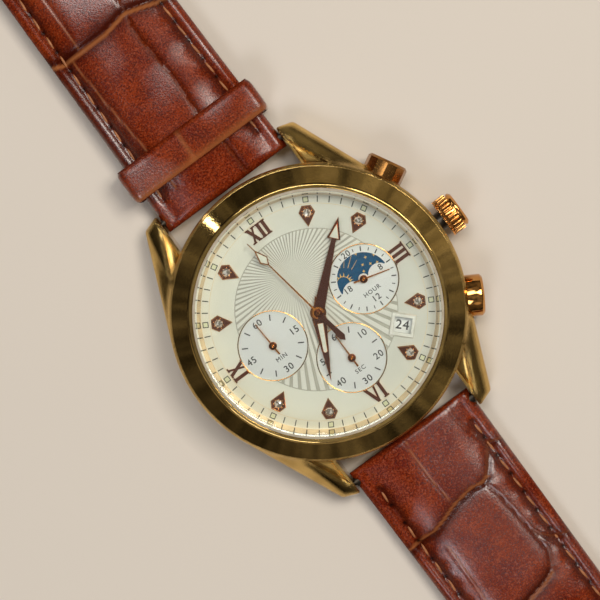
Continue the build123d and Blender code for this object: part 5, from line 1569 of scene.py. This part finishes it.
@dataclass
class StrapHalf:
    """One half of the strap: padded embossed upper, lining, stitches and edge.

    Distances along the strap are counted from the case's centre, for either side of it.
    """

    name: str
    side: int
    body: str
    nodes: tuple[str, str]
    far: float
    far_bar: float
    tops: tuple[Pair, ...]
    floors: tuple[Pair, ...]
    pads: tuple[Pair, ...]
    folds: tuple[Fold, ...]
    lining: Quad
    holes: tuple[float, ...] = ()
    point_start: float = 0.0
    point_half: float = 3.5
    point_power: float = 1.9
    bar: float = 22.05
    bar_z: float = 2.9
    loop: float = 1.5
    width: Pair = (19.8, 18.0)
    cell: float = 0.25
    rim_round: float = 0.95
    stitch_line: float = 1.95
    stitch_start: float = 24.4
    stitch_end_gap: float = 5.0
    stitch_pitch: float = 3.1
    stitch_size: Triple = (1.05, 0.18, 0.13)
    stitch_slant: float = 5.0
    stitch_rise: float = 0.09
    stitch_tip: float = 0.9
    seam_over: float = 2.0
    seam_fade: float = 0.8
    hole_radius: float = 1.0
    hole_steps: int = 24
    slot: Pair = (3.0, 4.0)
    shaded: tuple[Pair, ...] = ()
    # Padding: how far in from the seam it is full, and how steeply it rises
    pad_run: float = 5.0
    pad_power: float = 2.4
    # Folds: the soft pillow beside the line, the tan band, and the painted shade along and beside the line
    pillow_width: float = 4.0
    pillow_share: float = 0.35
    pillow_burn: float = 2.0
    line_burn: float = 1.6
    tan_shift: float = 1.2
    tan_width: float = 0.75
    fold_rim: float = 0.4
    fold_least: float = 0.25
    # Smooth rises beside the seam, each as height, middle and spread
    groove: Triple = (0.28, 0.0, 0.1764)
    # Painted shade along the stitch groove, as height, middle and spread
    dark_groove: Triple = (0.75, 0.35, 0.5)
    pucker: Triple = (0.07, 0.7, 0.4)
    bead: Triple = (0.12, 1.0, 0.3025)
    prick_along: Triple = (1.0, 0.0, 0.0784)
    prick_across: Triple = (1.0, 0.0, 0.0676)
    prick_depth: float = 0.16
    # How dark the painted shade inside the stitch holes is
    prick_dark: float = 1.4
    # Unevenness of the hide: height, then its waves across and along
    wave: tuple[float, float, float, float, float] = (0.05, 0.55, 0.21, 0.33, 1.3)
    # Side in the shade: how dark, and how soft its border is
    shadow: Pair = (0.6, 0.25)
    # Mesh: points near the rim, round the foot and near the rolled ends
    rim_steps: tuple[float, ...] = (0.0, 0.03, 0.1, 0.22, 0.38, 0.6, 0.85)
    first_cell: float = 1.1
    foot: Triple = (0.1, 0.12, 0.3)
    end_gap: float = 0.01
    end_steps: tuple[float, ...] = (0.02, 0.08, 0.18, 0.32, 0.5)
    end_run: float = 0.7
    # Painted edge: its reach inwards, on faces that don't look up more than this
    edge_reach: float = 0.1
    flank: float = 0.2
    skin_inset: float = 0.02
    skin_round: float = 0.18
    skin_cells: int = 40

    def half_width(self, distance: np.ndarray) -> np.ndarray:
        """Half width at distances along the strap, the pointed end among them."""
        share = (distance - self.bar) / (self.far - self.bar)
        half = (self.width[0] + (self.width[1] - self.width[0]) * share) / 2
        if self.point_start:
            along = np.clip((distance - self.point_start) / (self.far - self.point_start), 0, 1)
            full = np.sqrt(np.clip(1 - along**self.point_power, 0, 1))
            half = self.point_half + (half - self.point_half) * full
        return half

    def nose(self, distance: np.ndarray) -> np.ndarray:
        """How far a rounded end pinches the strap, from 0 at its tip to 1 where it is full."""
        near = np.clip((distance - (self.bar - self.loop)) / self.loop, 0, 1)
        end = self.far_bar + self.loop if self.far_bar else self.far
        length = self.loop if self.far_bar else self.loop / 2
        far = np.clip((end - distance) / length, 0, 1)
        share = np.minimum(near, far)
        return np.cbrt(np.clip(1 - (1 - share) ** 3, 0, 1))

    def fold_marks(self, x: np.ndarray, distance: np.ndarray) -> tuple[np.ndarray, np.ndarray, np.ndarray]:
        """Depth, tan and painted shade that the embossed folds leave at points of the upper.

        Args:
            x: Places across the strap.
            distance: Places along it.

        Returns:
            Depth in millimetres, and shares from 0 to 1 of tan and of painted shade.
        """
        depth = np.zeros_like(x)
        tan = np.zeros_like(x)
        painted_shade = np.zeros_like(x)
        for points, deep, broad, pale in self.folds:
            gap = np.full_like(x, 1e3)
            for (x0, y0), (x1, y1) in zip(points[:-1], points[1:], strict=True):
                run = (x1 - x0) ** 2 + (y1 - y0) ** 2
                share = np.clip(((x - x0) * (x1 - x0) + (distance - y0) * (y1 - y0)) / run, 0, 1)
                near = np.hypot(x - x0 - share * (x1 - x0), distance - y0 - share * (y1 - y0))
                turn = np.sign((x1 - x0) * (distance - y0) - (y1 - y0) * (x - x0))
                gap = np.where(near < np.abs(gap), np.where(turn < 0, -near, near), gap)
            line = np.exp(-((gap / broad) ** 2))
            pillow = np.exp(-((gap / (self.pillow_width * broad)) ** 2))
            band = np.exp(-(((gap + self.tan_shift * broad) / (self.tan_width * broad)) ** 4))
            depth = np.maximum(depth, deep * ((1 - self.pillow_share) * line + self.pillow_share * pillow))
            tan = np.maximum(tan, pale * band)
            # Painted shade on the pillow beside the fold, except on its tan band, and in the fold's line
            rubbed = self.pillow_burn * pillow * (1 - band * pale)
            painted_shade = np.maximum(painted_shade, deep * np.maximum(rubbed, self.line_burn * line))
        return depth, tan, np.clip(painted_shade, 0, 1)

    def stitches(self) -> list[float]:
        """Middles of the stitches along one edge."""
        last = (self.point_start or self.far_bar) - self.stitch_end_gap
        count = int((last - self.stitch_start) / self.stitch_pitch)
        return [self.stitch_start + (index + 0.5) * self.stitch_pitch for index in range(count)]

    def upper_height(self, x: np.ndarray, distance: np.ndarray) -> tuple[np.ndarray, dict[str, np.ndarray]]:
        """Height of the upper's outer face above its bare rim, and its marks.

        Args:
            x: Places across the strap.
            distance: Places along it.

        Returns:
            The heights in millimetres and the named marks.
        """
        half = self.half_width(distance)
        edge = np.clip(half - np.abs(x), 0, None)
        off = edge - self.stitch_line
        share = np.clip(off / self.pad_run, 0, 1)
        crown = read(self.pads, distance) * (1 - (1 - share) ** self.pad_power)
        depth, tan, painted_shade = self.fold_marks(x, distance)
        inside = np.clip(edge - self.fold_rim, self.fold_least, 1)
        pitch = (distance - self.stitch_start) / self.stitch_pitch
        seam = self.stitches()
        sewn = np.clip((distance - seam[0] + self.seam_over) / self.seam_fade, 0, 1)
        sewn = sewn * np.clip((seam[-1] + self.seam_over - distance) / self.seam_fade, 0, 1)
        prick = np.abs(pitch - np.round(pitch)) * self.stitch_pitch
        hole = hump(prick, *self.prick_along) * hump(off, *self.prick_across) * sewn
        pucker = np.cos(2 * math.pi * pitch) * hump(off, *self.pucker) * sewn
        rise, over_x, over_y, slow, shift = self.wave
        wave = rise * np.sin(over_x * x + over_y * distance) * np.sin(slow * distance + shift) * share
        height = crown + hump(edge, *self.bead) + wave + pucker
        height = height - hump(off, *self.groove) * sewn - self.prick_depth * hole - depth * inside
        # Painted shade along the stitch groove
        painted_shade = np.maximum(painted_shade, hump(off, *self.dark_groove) * sewn)
        if self.shaded:
            along, across = zip(*self.shaded, strict=True)
            line = np.interp(distance, along, across, left=-half.max(), right=-half.max())
            dark, fade = self.shadow
            painted_shade = np.maximum(painted_shade, dark * np.clip((line - x) / fade, 0, 1))
        # The stitch holes' mark darkens them with painted shade
        return height, {"tan": tan, "painted_shade": painted_shade, "hole": np.clip(hole * self.prick_dark, 0, 1)}

    def build(self) -> None:
        """Model the upper, its lining and its thread."""
        upper = self.upper()
        self.pierce(upper, 0.0)
        self.paint(upper)
        smooth(upper, degrees=50.0)
        dressed(upper, GLAZED_CALF, self.body, [self.nodes[0]])
        self.skin()
        self.thread()

    def section(self, distance: float) -> list[Pair]:
        """Section of the upper at a distance along the strap, from its lower left corner round.

        Args:
            distance: Where the section is taken.

        Returns:
            The points as x and z, of which the first and last are the same.
        """
        at = np.array([distance])
        half = float(self.half_width(at)[0])
        pinch = float(self.nose(at)[0])
        top, floor, pad = (float(read(table, distance)) for table in (self.tops, self.floors, self.pads))
        full = self.width[0] / 2
        steps = [*self.rim_steps, *np.arange(self.first_cell, full, self.cell)]
        edges = [step * half / full for step in steps]
        across = np.array([edge - half for edge in edges] + [half - edge for edge in reversed(edges)])
        height, _ = self.upper_height(across, np.full_like(across, distance))
        ease = np.clip(1 - (half - np.abs(across)) / self.rim_round, 0, 1)
        drop = self.rim_round * (1 - np.sqrt(np.clip(1 - ease**2, 0, 1)))
        over = top - pad + height - drop
        middle = self.bar_z if distance < self.bar + self.loop else (top + floor) / 2
        inset, low, high = self.foot
        left = [(inset - half, floor), (-half, floor + low), (-half, floor + high)]
        right = [(-x, z) for x, z in reversed(left)]
        under = [(half * share, floor) for share in (0.66, 0.33, 0.0, -0.33, -0.66)]
        points = [*left, *zip(across.tolist(), over.tolist(), strict=True), *right, *under, left[0]]
        return [(x, middle + (z - middle) * pinch) for x, z in points]

    def upper(self) -> Piece:
        """Padded upper: a grid rolled round the strap's sections and closed at its ends."""
        start = self.bar - self.loop + self.end_gap
        end = (self.far_bar + self.loop if self.far_bar else self.far) - self.end_gap
        run = end - start - 2 * self.end_run
        count = int(run / self.cell)
        body = [start + self.end_run + run * index / count for index in range(count + 1)]
        near = [start + step for step in self.end_steps]
        tips = [end - step for step in reversed(self.end_steps)]
        stations = [start, *near, *body, *tips, end]
        rings = [self.section(distance) for distance in stations]
        columns, rows = len(rings[0]), len(rings)
        bpy.ops.mesh.primitive_grid_add(x_subdivisions=columns - 1, y_subdivisions=rows - 1, size=MM)
        piece = added(f"{self.name}_upper")
        places = []
        for distance, ring in zip(stations, rings, strict=True):
            places += [(x, self.side * distance, z) for x, z in ring]
        piece.data.vertices.foreach_set("co", (np.array(places) * MM).ravel())
        piece.data.update()
        with editing(piece, Element.FACE):
            bpy.ops.mesh.remove_doubles(threshold=WELD)
        with editing(piece, Element.EDGE, lambda a, b: False):
            bpy.ops.mesh.select_non_manifold(extend=False)
            bpy.ops.mesh.fill_holes(sides=0)
        return close_up(piece)

    def pierce(self, piece: Piece, floor: float) -> None:
        """Cut the buckle's slot or the row of holes through a piece of the strap.

        Args:
            piece: Upper or lining.
            floor: Height below which the cutters start.
        """
        low, high = floor - OVERRUN, self.tops[0][1] + 3 * OVERRUN
        if self.far_bar:
            half, length = self.slot[0] / 2, self.slot[1]
            end = self.far_bar + self.loop + OVERRUN
            inner = arc(half, (0.0, self.side * (self.far_bar - length + half)), 0, -180, 10)
            outline = [(-half, self.side * end), (half, self.side * end), *inner]
            cut(piece, prism("slot_tool", outline, low, high))
            return
        for index, distance in enumerate(self.holes):
            outline = circle(self.hole_radius, (0.0, self.side * distance), self.hole_steps)
            cut(piece, prism(f"hole_tool_{index}", outline, low, high))

    def paint(self, piece: Piece) -> None:
        """Write the folds' tan, the painted shade, the stitch holes and painted edges as the piece's own
        attributes.
        """
        mesh = piece.data
        places = np.zeros(3 * len(mesh.vertices), np.float32)
        normals = np.zeros(3 * len(mesh.vertices), np.float32)
        mesh.vertices.foreach_get("co", places)
        mesh.vertex_normals.foreach_get("vector", normals)
        x, y, _ = (places.reshape(-1, 3) / MM).T.astype(float)
        distance = y * self.side
        _, marks = self.upper_height(x, distance)
        upward = normals.reshape(-1, 3)[:, 2] > self.flank
        marks = {name: np.where(upward, value, 0.0) for name, value in marks.items()}
        rim = self.half_width(distance) - np.abs(x) < self.edge_reach
        marks["edge"] = np.where(rim & ~upward, 1.0, 0.0)
        for name, values in marks.items():
            attribute = mesh.attributes.new(name, "FLOAT", "POINT")
            attribute.data.foreach_set("value", values.astype(np.float32))

    def skin(self) -> None:
        """Flat lining with eased edges, with the upper's row of holes cut through it where it has one."""
        start, end, low, high = self.lining
        stations = [start + (end - start) * index / self.skin_cells for index in range(self.skin_cells + 1)]
        halves = self.half_width(np.array(stations)) - self.skin_inset
        left = [(-half, self.side * y) for half, y in zip(halves, stations, strict=True)]
        piece = prism(f"{self.name}_skin", left + [(-x, y) for x, y in reversed(left)], low, high)
        if self.holes:
            self.pierce(piece, low)
        soften(piece, self.skin_round, degrees=60.0)
        dressed(piece, LINING_NUBUCK, self.body, [self.nodes[1]])

    def thread(self) -> None:
        """Saddle stitches that dip into their holes along both edges."""
        length, width, depth = self.stitch_size
        bpy.ops.mesh.primitive_uv_sphere_add(segments=8, ring_count=6, radius=MM)
        stitch = bpy.context.object
        stitch.scale = (width, length, depth)
        stitch = added("stitch")
        with editing(stitch, Element.VERT, lambda co, normal: abs(co.y) > self.stitch_tip * length * MM):
            bpy.ops.transform.translate(value=(0, 0, -depth * MM))
        places = []
        for distance in self.stitches():
            at = np.array([distance])
            across = self.half_width(at) - self.stitch_line
            height, _ = self.upper_height(across, at)
            top = float(read(self.tops, distance) - read(self.pads, distance) + height[0]) + self.stitch_rise
            for edge in (-1, 1):
                spot = (edge * float(across[0]) * MM, self.side * distance * MM, top * MM)
                slant = Matrix.Rotation(math.radians(edge * self.stitch_slant), 4, "Z")
                places.append(Matrix.Translation(spot) @ slant)
        thread = repeated(f"{self.name}_stitching", stitch, places)
        dressed(smooth(thread, degrees=80.0), WAXED_THREAD, self.body)


@dataclass
class Keeper:
    """Leather band round the strap, slightly domed, with a painted highlight in tan on one rim and painted
    shade on the other.
    """

    name: str
    node: str
    body: str
    middle: float
    half_width: float
    roof: float
    length: float = 5.0
    thickness: float = 0.95
    corner: float = 1.25
    strip: int = 22
    bend_steps: int = 8
    side_steps: tuple[int, int] = (40, 6)
    squareness: float = 0.35
    dome: float = 0.22
    # Pressed fold: its place across, its slant, width, depth and how far it is rubbed tan
    crease: tuple[float, float, float, float, float] = (-1.0, 0.1, 0.22, 0.1, 0.7)
    # Rims: how far in the painted highlight in tan on the near rim and the painted shade on the far rim
    # reach, and how strong each is
    rubbed: Pair = (0.8, 0.75)
    burnt: Pair = (0.4, 0.5)

    def outline(self) -> list[Quad]:
        """Middle line of the band as x, z and the outward direction, closed."""
        height = self.roof / 2
        bend = self.corner
        points: list[Quad] = []
        flat, upright = self.half_width - bend, height - bend
        corners = ((flat, upright), (-flat, upright), (-flat, -upright), (flat, -upright))
        for quarter, (x, z) in enumerate(corners):
            for step in range(self.bend_steps + 1):
                angle = math.radians(90 * quarter + 90 * step / self.bend_steps)
                out_x, out_z = math.cos(angle), math.sin(angle)
                points.append((x + bend * out_x, z + height + bend * out_z, out_x, out_z))
            start = points[-1]
            reach = 2 * (upright if quarter % 2 else flat)
            count = self.side_steps[quarter % 2]
            for step in range(1, count):
                travel = reach * step / count
                points.append((start[0] - out_z * travel, start[1] + out_x * travel, out_x, out_z))
        return points

    def build(self) -> None:
        """Model the band from a ring, and paint its rims' highlight and shade and its fold."""
        line = self.outline()
        minor = self.strip
        bpy.ops.mesh.primitive_torus_add(
            major_segments=len(line), minor_segments=minor, major_radius=2 * MM, minor_radius=MM
        )
        piece = added(self.name)
        place, slant, wide, deep, worn = self.crease
        half = self.length / 2
        places, tan, painted_shade = [], [], []
        for x, z, out_x, out_z in line:
            for step in range(minor):
                angle = 2 * math.pi * step / minor
                along = math.copysign(abs(math.cos(angle)) ** self.squareness, math.cos(angle)) * half
                outer = math.sin(angle) > 0
                depth = 0.0 if outer else self.thickness * (1 - self.dome * (along / half) ** 4)
                depth += (1 if outer else -1) * abs(along / half) ** 8 * self.thickness / 2
                fold = math.exp(-(((x - place - slant * along) / wide) ** 2)) * (out_z > TOP_FACE) * outer
                depth += deep * fold
                places.append((x - out_x * depth, self.middle + along, z - out_z * depth))
                # Painted highlight in tan on the near rim, painted shade on the far rim
                rim = math.exp(-(((half + along) / self.rubbed[0]) ** 2))
                tan.append(min(1.0, outer * (self.rubbed[1] * rim + worn * fold)))
                far = math.exp(-(((half - along) / self.burnt[0]) ** 2))
                painted_shade.append(self.burnt[1] * outer * far)
        mesh = piece.data
        mesh.vertices.foreach_set("co", (np.array(places) * MM).ravel())
        mesh.update()
        for name, values in {"tan": tan, "painted_shade": painted_shade, "hole": None, "edge": None}.items():
            attribute = mesh.attributes.new(name, "FLOAT", "POINT")
            if values:
                attribute.data.foreach_set("value", np.array(values, np.float32))
        with editing(piece, Element.FACE):
            bpy.ops.mesh.normals_make_consistent(inside=False)
        dressed(smooth(piece, degrees=60.0), GLAZED_CALF, self.body, [self.node])


@dataclass
class BuckleWork:
    """Pin buckle at the end of the short strap."""

    frame_round: float = 0.55
    tang_round: float = 0.25

    def build(self) -> None:
        """Round the frame and the tang as casting and tumbling leave them."""
        hoop = soften(node_copy("buckle_hoop", "buckle_frame"), self.frame_round, segments=4)
        dressed(hoop, YELLOW_GOLD, "buckle", ["buckle_frame"])
        tongue = soften(node_copy("buckle_tongue", "buckle_tang"), self.tang_round, segments=3)
        dressed(tongue, YELLOW_GOLD, "tang", ["buckle_tang"])
        refinished(DRAWN_STEEL, "buckle_bar")


@dataclass
class Studio:
    """Pale floor, soft lamps and the camera of the photograph."""

    floor_size: float = 3000.0
    camera_place: Triple = (14.64, 16.46, 304.27)
    camera_up: Triple = (0.593, 0.8023, -0.068)
    camera_back: Triple = (0.0524, 0.0458, 0.9976)
    focal_pixels: float = 2214.3
    picture: float = 600.0
    sensor: float = 36.0
    lamps: tuple[tuple[str, Triple, Pair, float, str], ...] = (
        ("key", (262.0, 46.0, 540.0), (210.0, 210.0), 2.0, "#fff8ee"),
        ("fill", (-290.0, -200.0, 520.0), (200.0, 200.0), 0.85, "#f4f6ff"),
        ("top", (60.0, 205.0, 600.0), (220.0, 180.0), 0.9, "#ffffff"),
        ("window", (-172.0, 532.0, 420.0), (22.0, 190.0), 0.12, "#ffffff"),
    )
    # Tones of the room from the horizon up, away from the crown and towards it
    heights: tuple[float, ...] = (0.0, 0.3, 0.5, 0.68, 0.82, 1.0)
    far_side: tuple[str, ...] = ("#59544b", "#4a453c", "#35312b", "#45413a", "#54514c", "#75736f")
    crown_side: tuple[str, ...] = ("#b9b2a6", "#8a8478", "#6e695f", "#6c665c", "#6a665f", "#75736f")
    turning: Pair = (-0.8, 0.9)
    # Uneven light in the room: broad streaks and upright slats
    streak: Triple = (5.0, 5.0, 0.6)
    streak_range: Pair = (0.36, 0.66)
    streak_gain: Pair = (0.25, 2.0)
    slat_stretch: Triple = (1.0, 1.0, 0.3)
    slat: Pair = (26.0, 3.0)
    slat_gain: Pair = (0.6, 1.45)
    # Dark sides of the room, low down
    shut_heights: Pair = (0.15, 0.5)
    shut_sides: Pair = (0.8, 0.97)
    shut_share: Pair = (0.8, 0.0)
    # White cards: where they stand, how sharp their edge is, and how bright they are
    cards: tuple[tuple[Triple, Pair, float], ...] = (
        ((-0.26, -0.64, 0.72), (0.988, 0.996), 5.5),
        ((0.18, 0.58, 0.80), (0.991, 0.997), 3.5),
        ((-1.0, -0.1, 0.1), (0.85, 0.97), 2.5),
    )

    def build(self) -> None:
        """Set the stage."""
        self.floor()
        self.light()
        self.world()
        self.camera()
        bpy.context.scene.view_settings.view_transform = "Standard"

    def floor(self) -> None:
        """Plain pale sheet under the watch."""
        bpy.ops.mesh.primitive_plane_add(size=self.floor_size * MM)
        sheet = added("floor")
        sheet.data.materials.append(Backdrop("pale_paper").material())

    def light(self) -> None:
        """Soft rectangular lamps, each aimed at the dial."""
        for name, place, size, watts, colour in self.lamps:
            data = bpy.data.lights.new(name, "AREA")
            data.shape = "RECTANGLE"
            data.size, data.size_y = size[0] * MM, size[1] * MM
            data.energy = watts
            data.color = linear(colour)[:3]
            lamp = bpy.data.objects.new(name, data)
            bpy.context.scene.collection.objects.link(lamp)
            lamp.location = Vector(place) * MM
            lamp.rotation_mode = "QUATERNION"
            lamp.rotation_quaternion = Vector(place).to_track_quat("Z", "Y")

    def world(self) -> None:
        """Grey room: bright overhead, a dark band half way up, paler at the horizon towards the crown."""
        world = bpy.data.worlds.new("room")
        bpy.context.scene.world = world
        world.use_nodes = True
        tree = world.node_tree
        tree.nodes.clear()
        way = add_node(tree, "ShaderNodeTexCoord").outputs["Generated"]
        across, height = axis(tree, way, "X"), axis(tree, way, "Z")
        dim, lit = (self.ramp(tree, height, tones) for tones in (self.far_side, self.crown_side))
        room = blend(tree, span(tree, across, self.turning), dim, lit)
        scale, detail, rough = self.streak
        values = {"Scale": scale, "Detail": detail, "Roughness": rough}
        streaks = add_node(tree, "ShaderNodeTexNoise", values, {"Vector": way}).outputs["Fac"]
        tall = vector_calc(tree, "MULTIPLY", way, self.slat_stretch)["Vector"]
        slats = span(tree, noise(tree, tall, *self.slat), MIDDLING, self.slat_gain)
        strength = calc(tree, "MULTIPLY", span(tree, streaks, self.streak_range, self.streak_gain), slats)
        low = span(tree, height, self.shut_heights, FALLING)
        sides = span(tree, calc(tree, "ABSOLUTE", across), self.shut_sides, self.shut_share)
        shut = calc(tree, "MULTIPLY", low, sides)
        strength = calc(tree, "MULTIPLY", strength, span(tree, shut, UNIT, FALLING))
        for towards, edge, gain in self.cards:
            facing = vector_calc(tree, "DOT_PRODUCT", way, Vector(towards).normalized())["Value"]
            strength = calc(tree, "ADD", strength, span(tree, facing, edge, (0.0, gain)))
        room = add_node(tree, "ShaderNodeBackground", links={"Color": room, "Strength": strength})
        add_node(tree, "ShaderNodeOutputWorld", links={"Surface": room.outputs["Background"]})

    def ramp(self, tree: Tree, height: Socket, tones: Sequence[str]) -> Socket:
        """Tone of the room by height above the horizon.

        Args:
            tree: The world's node tree.
            height: Upward share of the direction.
            tones: Colours from the horizon up.

        Returns:
            The colour's socket.
        """
        node = add_node(tree, "ShaderNodeValToRGB", links={"Fac": height})
        elements = node.color_ramp.elements
        while len(elements) < len(tones):
            elements.new(0.5)
        for element, position, code in zip(elements, self.heights, tones, strict=True):
            element.position = position
            element.color = linear(code)
        return node.outputs["Color"]

    def camera(self) -> None:
        """Camera at the photograph's place, worked out from the dial's marks in it."""
        data = bpy.data.cameras.new("camera")
        data.sensor_width = self.sensor
        data.lens = self.sensor * self.focal_pixels / self.picture
        data.clip_start, data.clip_end = 10 * MM, 10.0
        camera = bpy.data.objects.new("camera", data)
        bpy.context.scene.collection.objects.link(camera)
        back = Vector(self.camera_back).normalized()
        across = Vector(self.camera_up).cross(back).normalized()
        turn = Matrix((across, back.cross(across), back)).transposed()
        camera.matrix_world = Matrix.Translation(Vector(self.camera_place) * MM) @ turn.to_4x4()
        bpy.context.scene.camera = camera


def mirrored_steps(folds: Sequence[Fold], start: float, pitch: float, count: int) -> tuple[Fold, ...]:
    """Carry a fold pattern on along the strap, turned over left to right at each step.

    Args:
        folds: The folds of one row, at distances from its start.
        start: Distance of the first row.
        pitch: Length of a row.
        count: How many rows.

    Returns:
        All the rows' folds.
    """
    made = []
    for row in range(count):
        flip = -1 if row % 2 else 1
        for points, deep, broad, pale in folds:
            moved = tuple((flip * x, start + row * pitch + y) for x, y in points)
            made.append((moved, deep, broad, pale))
    return tuple(made)


# Folds traced on the leather: points, depth, breadth and how tan one side is
ROW: tuple[Fold, ...] = (
    (((-9.9, 0.3), (-6.8, 0.0), (-3.0, -0.5), (1.0, -0.9), (4.1, -0.4), (5.0, -1.2)), 0.5, 0.26, 0.75),
    (((5.0, -1.2), (6.6, -3.0), (7.9, -4.9), (10.2, -4.3)), 0.4, 0.24, 0.2),
    (((4.4, 0.6), (5.1, 3.0), (5.6, 8.0), (5.7, 11.0), (5.0, 13.0)), 0.3, 0.22, 0.15),
    (((-5.2, 2.5), (-5.3, 8.0), (-5.5, 13.0)), 0.12, 0.14, 0.5),
)
SHORT_CROSS: tuple[Pair, ...] = (
    (-9.9, 48.3), (-7.9, 47.6), (-4.9, 47.5), (-0.8, 47.5),
    (2.9, 48.2), (5.4, 47.5), (7.4, 46.9), (10.0, 46.6),
)
SHORT_LENGTHWISE: tuple[Pair, ...] = (
    (3.0, 47.2), (2.6, 45.3), (2.9, 41.1), (3.2, 37.5),
    (3.1, 34.4), (2.9, 31.0), (3.6, 26.0), (3.5, 21.2),
)
SHORT_FOLDS: tuple[Fold, ...] = (
    (SHORT_CROSS, 0.55, 0.36, 0.95),
    (SHORT_LENGTHWISE, 0.3, 0.2, 0.1),
    (((-6.5, 46.8), (-6.4, 45.5), (-6.1, 38.8), (-5.5, 31.6), (-5.3, 25.0)), 0.16, 0.16, 0.55),
    (((-4.6, 58.3), (-4.6, 52.0), (-4.8, 47.9)), 0.16, 0.16, 0.55),
    (((2.9, 48.4), (3.6, 52.0), (4.1, 58.0), (3.6, 62.0)), 0.3, 0.22, 0.1),
    *mirrored_steps(ROW, 63.5, 15.5, 2),
)
LONG_CROSS: tuple[Pair, ...] = (
    (-9.9, 34.4), (-6.8, 34.0), (-5.3, 34.1), (-3.1, 33.5),
    (-0.8, 32.7), (2.4, 32.2), (4.1, 32.5), (4.9, 32.2),
)
LONG_LENGTHWISE: tuple[Pair, ...] = (
    (4.3, 33.0), (4.9, 34.9), (5.2, 37.9), (5.5, 41.3),
    (5.6, 43.1), (5.8, 45.2), (5.1, 46.7), (4.2, 47.7),
)
LONG_FOLDS: tuple[Fold, ...] = (
    (LONG_CROSS, 0.5, 0.26, 0.75),
    (((4.9, 32.2), (6.1, 30.9), (7.1, 29.7), (7.9, 28.6), (10.1, 29.3)), 0.4, 0.22, 0.25),
    (LONG_LENGTHWISE, 0.32, 0.2, 0.15),
    (((4.2, 47.7), (2.7, 48.3), (0.9, 48.7), (-0.6, 49.0), (-4.0, 49.6), (-9.9, 49.4)), 0.5, 0.26, 0.7),
    (((5.5, 41.5), (6.1, 42.9), (7.3, 44.3), (10.0, 45.2)), 0.36, 0.2, 0.2),
    (((-1.2, 21.5), (-1.4, 22.8), (-1.5, 27.5), (-1.1, 31.5)), 0.12, 0.12, 0.6),
    (((6.4, 20.9), (6.2, 23.1), (7.3, 27.8)), 0.16, 0.14, 0.1),
    (((-5.1, 36.6), (-5.2, 41.1), (-5.4, 46.5)), 0.14, 0.14, 0.55),
    *mirrored_steps(ROW, 64.8, 15.6, 5),
)


def main() -> None:
    """Build the watch's looks in order, then the studio."""
    logging.basicConfig(level=logging.INFO, format="%(name)s: %(message)s")
    short = StrapHalf(
        name="short_strap",
        side=1,
        body="buckle_side",
        nodes=("buckle_strap", "buckle_strap_lining"),
        far=96.95,
        far_bar=96.95,
        tops=((20.0, 4.4), (22.05, 4.55), (27.25, 5.45), (92.95, 4.45), (96.95, 3.1), (99.0, 3.1)),
        floors=((20.0, 1.4), (22.05, 1.4), (24.75, 2.5), (92.95, 2.5), (96.95, 0.1), (99.0, 0.1)),
        pads=((20.0, 0.4), (22.05, 0.7), (27.25, 1.45), (60.0, 1.1), (92.0, 0.6), (99.0, 0.2)),
        folds=SHORT_FOLDS,
        lining=(24.8, 92.95, 1.3, 2.5),
        shaded=((25.0, -5.3), (31.6, -5.5), (38.8, -6.1), (46.6, -6.5)),
    )
    long = StrapHalf(
        name="long_strap",
        side=-1,
        body="hole_side",
        nodes=("hole_strap", "hole_strap_lining"),
        far=136.75,
        far_bar=0.0,
        tops=((20.0, 4.4), (22.05, 4.35), (27.25, 4.25), (136.75, 2.85)),
        floors=((20.0, 1.4), (22.05, 1.4), (26.75, 1.2), (136.75, 1.2)),
        pads=((20.0, 0.4), (22.05, 0.7), (27.25, 1.3), (70.0, 0.9), (137.0, 0.3)),
        folds=LONG_FOLDS,
        lining=(26.8, 136.65, 0.0, 1.2),
        holes=tuple(83.75 + 6.5 * step for step in range(7)),
        point_start=127.75,
    )
    keepers = (
        Keeper("free_keeper_band", "free_keeper", "keeper_band", 28.6, 11.05, 6.75),
        Keeper("fixed_keeper_band", "fixed_keeper", "buckle_side", 87.25, 10.35, 5.85),
    )
    straps = (short, long, *keepers, BuckleWork())
    for part in (CaseWork(), DialWork(), HandWork(), DiscWork(), Movement(), *straps, Studio()):
        log.info("building %s", type(part).__name__)
        part.build()


if __name__ == "__main__":
    main()
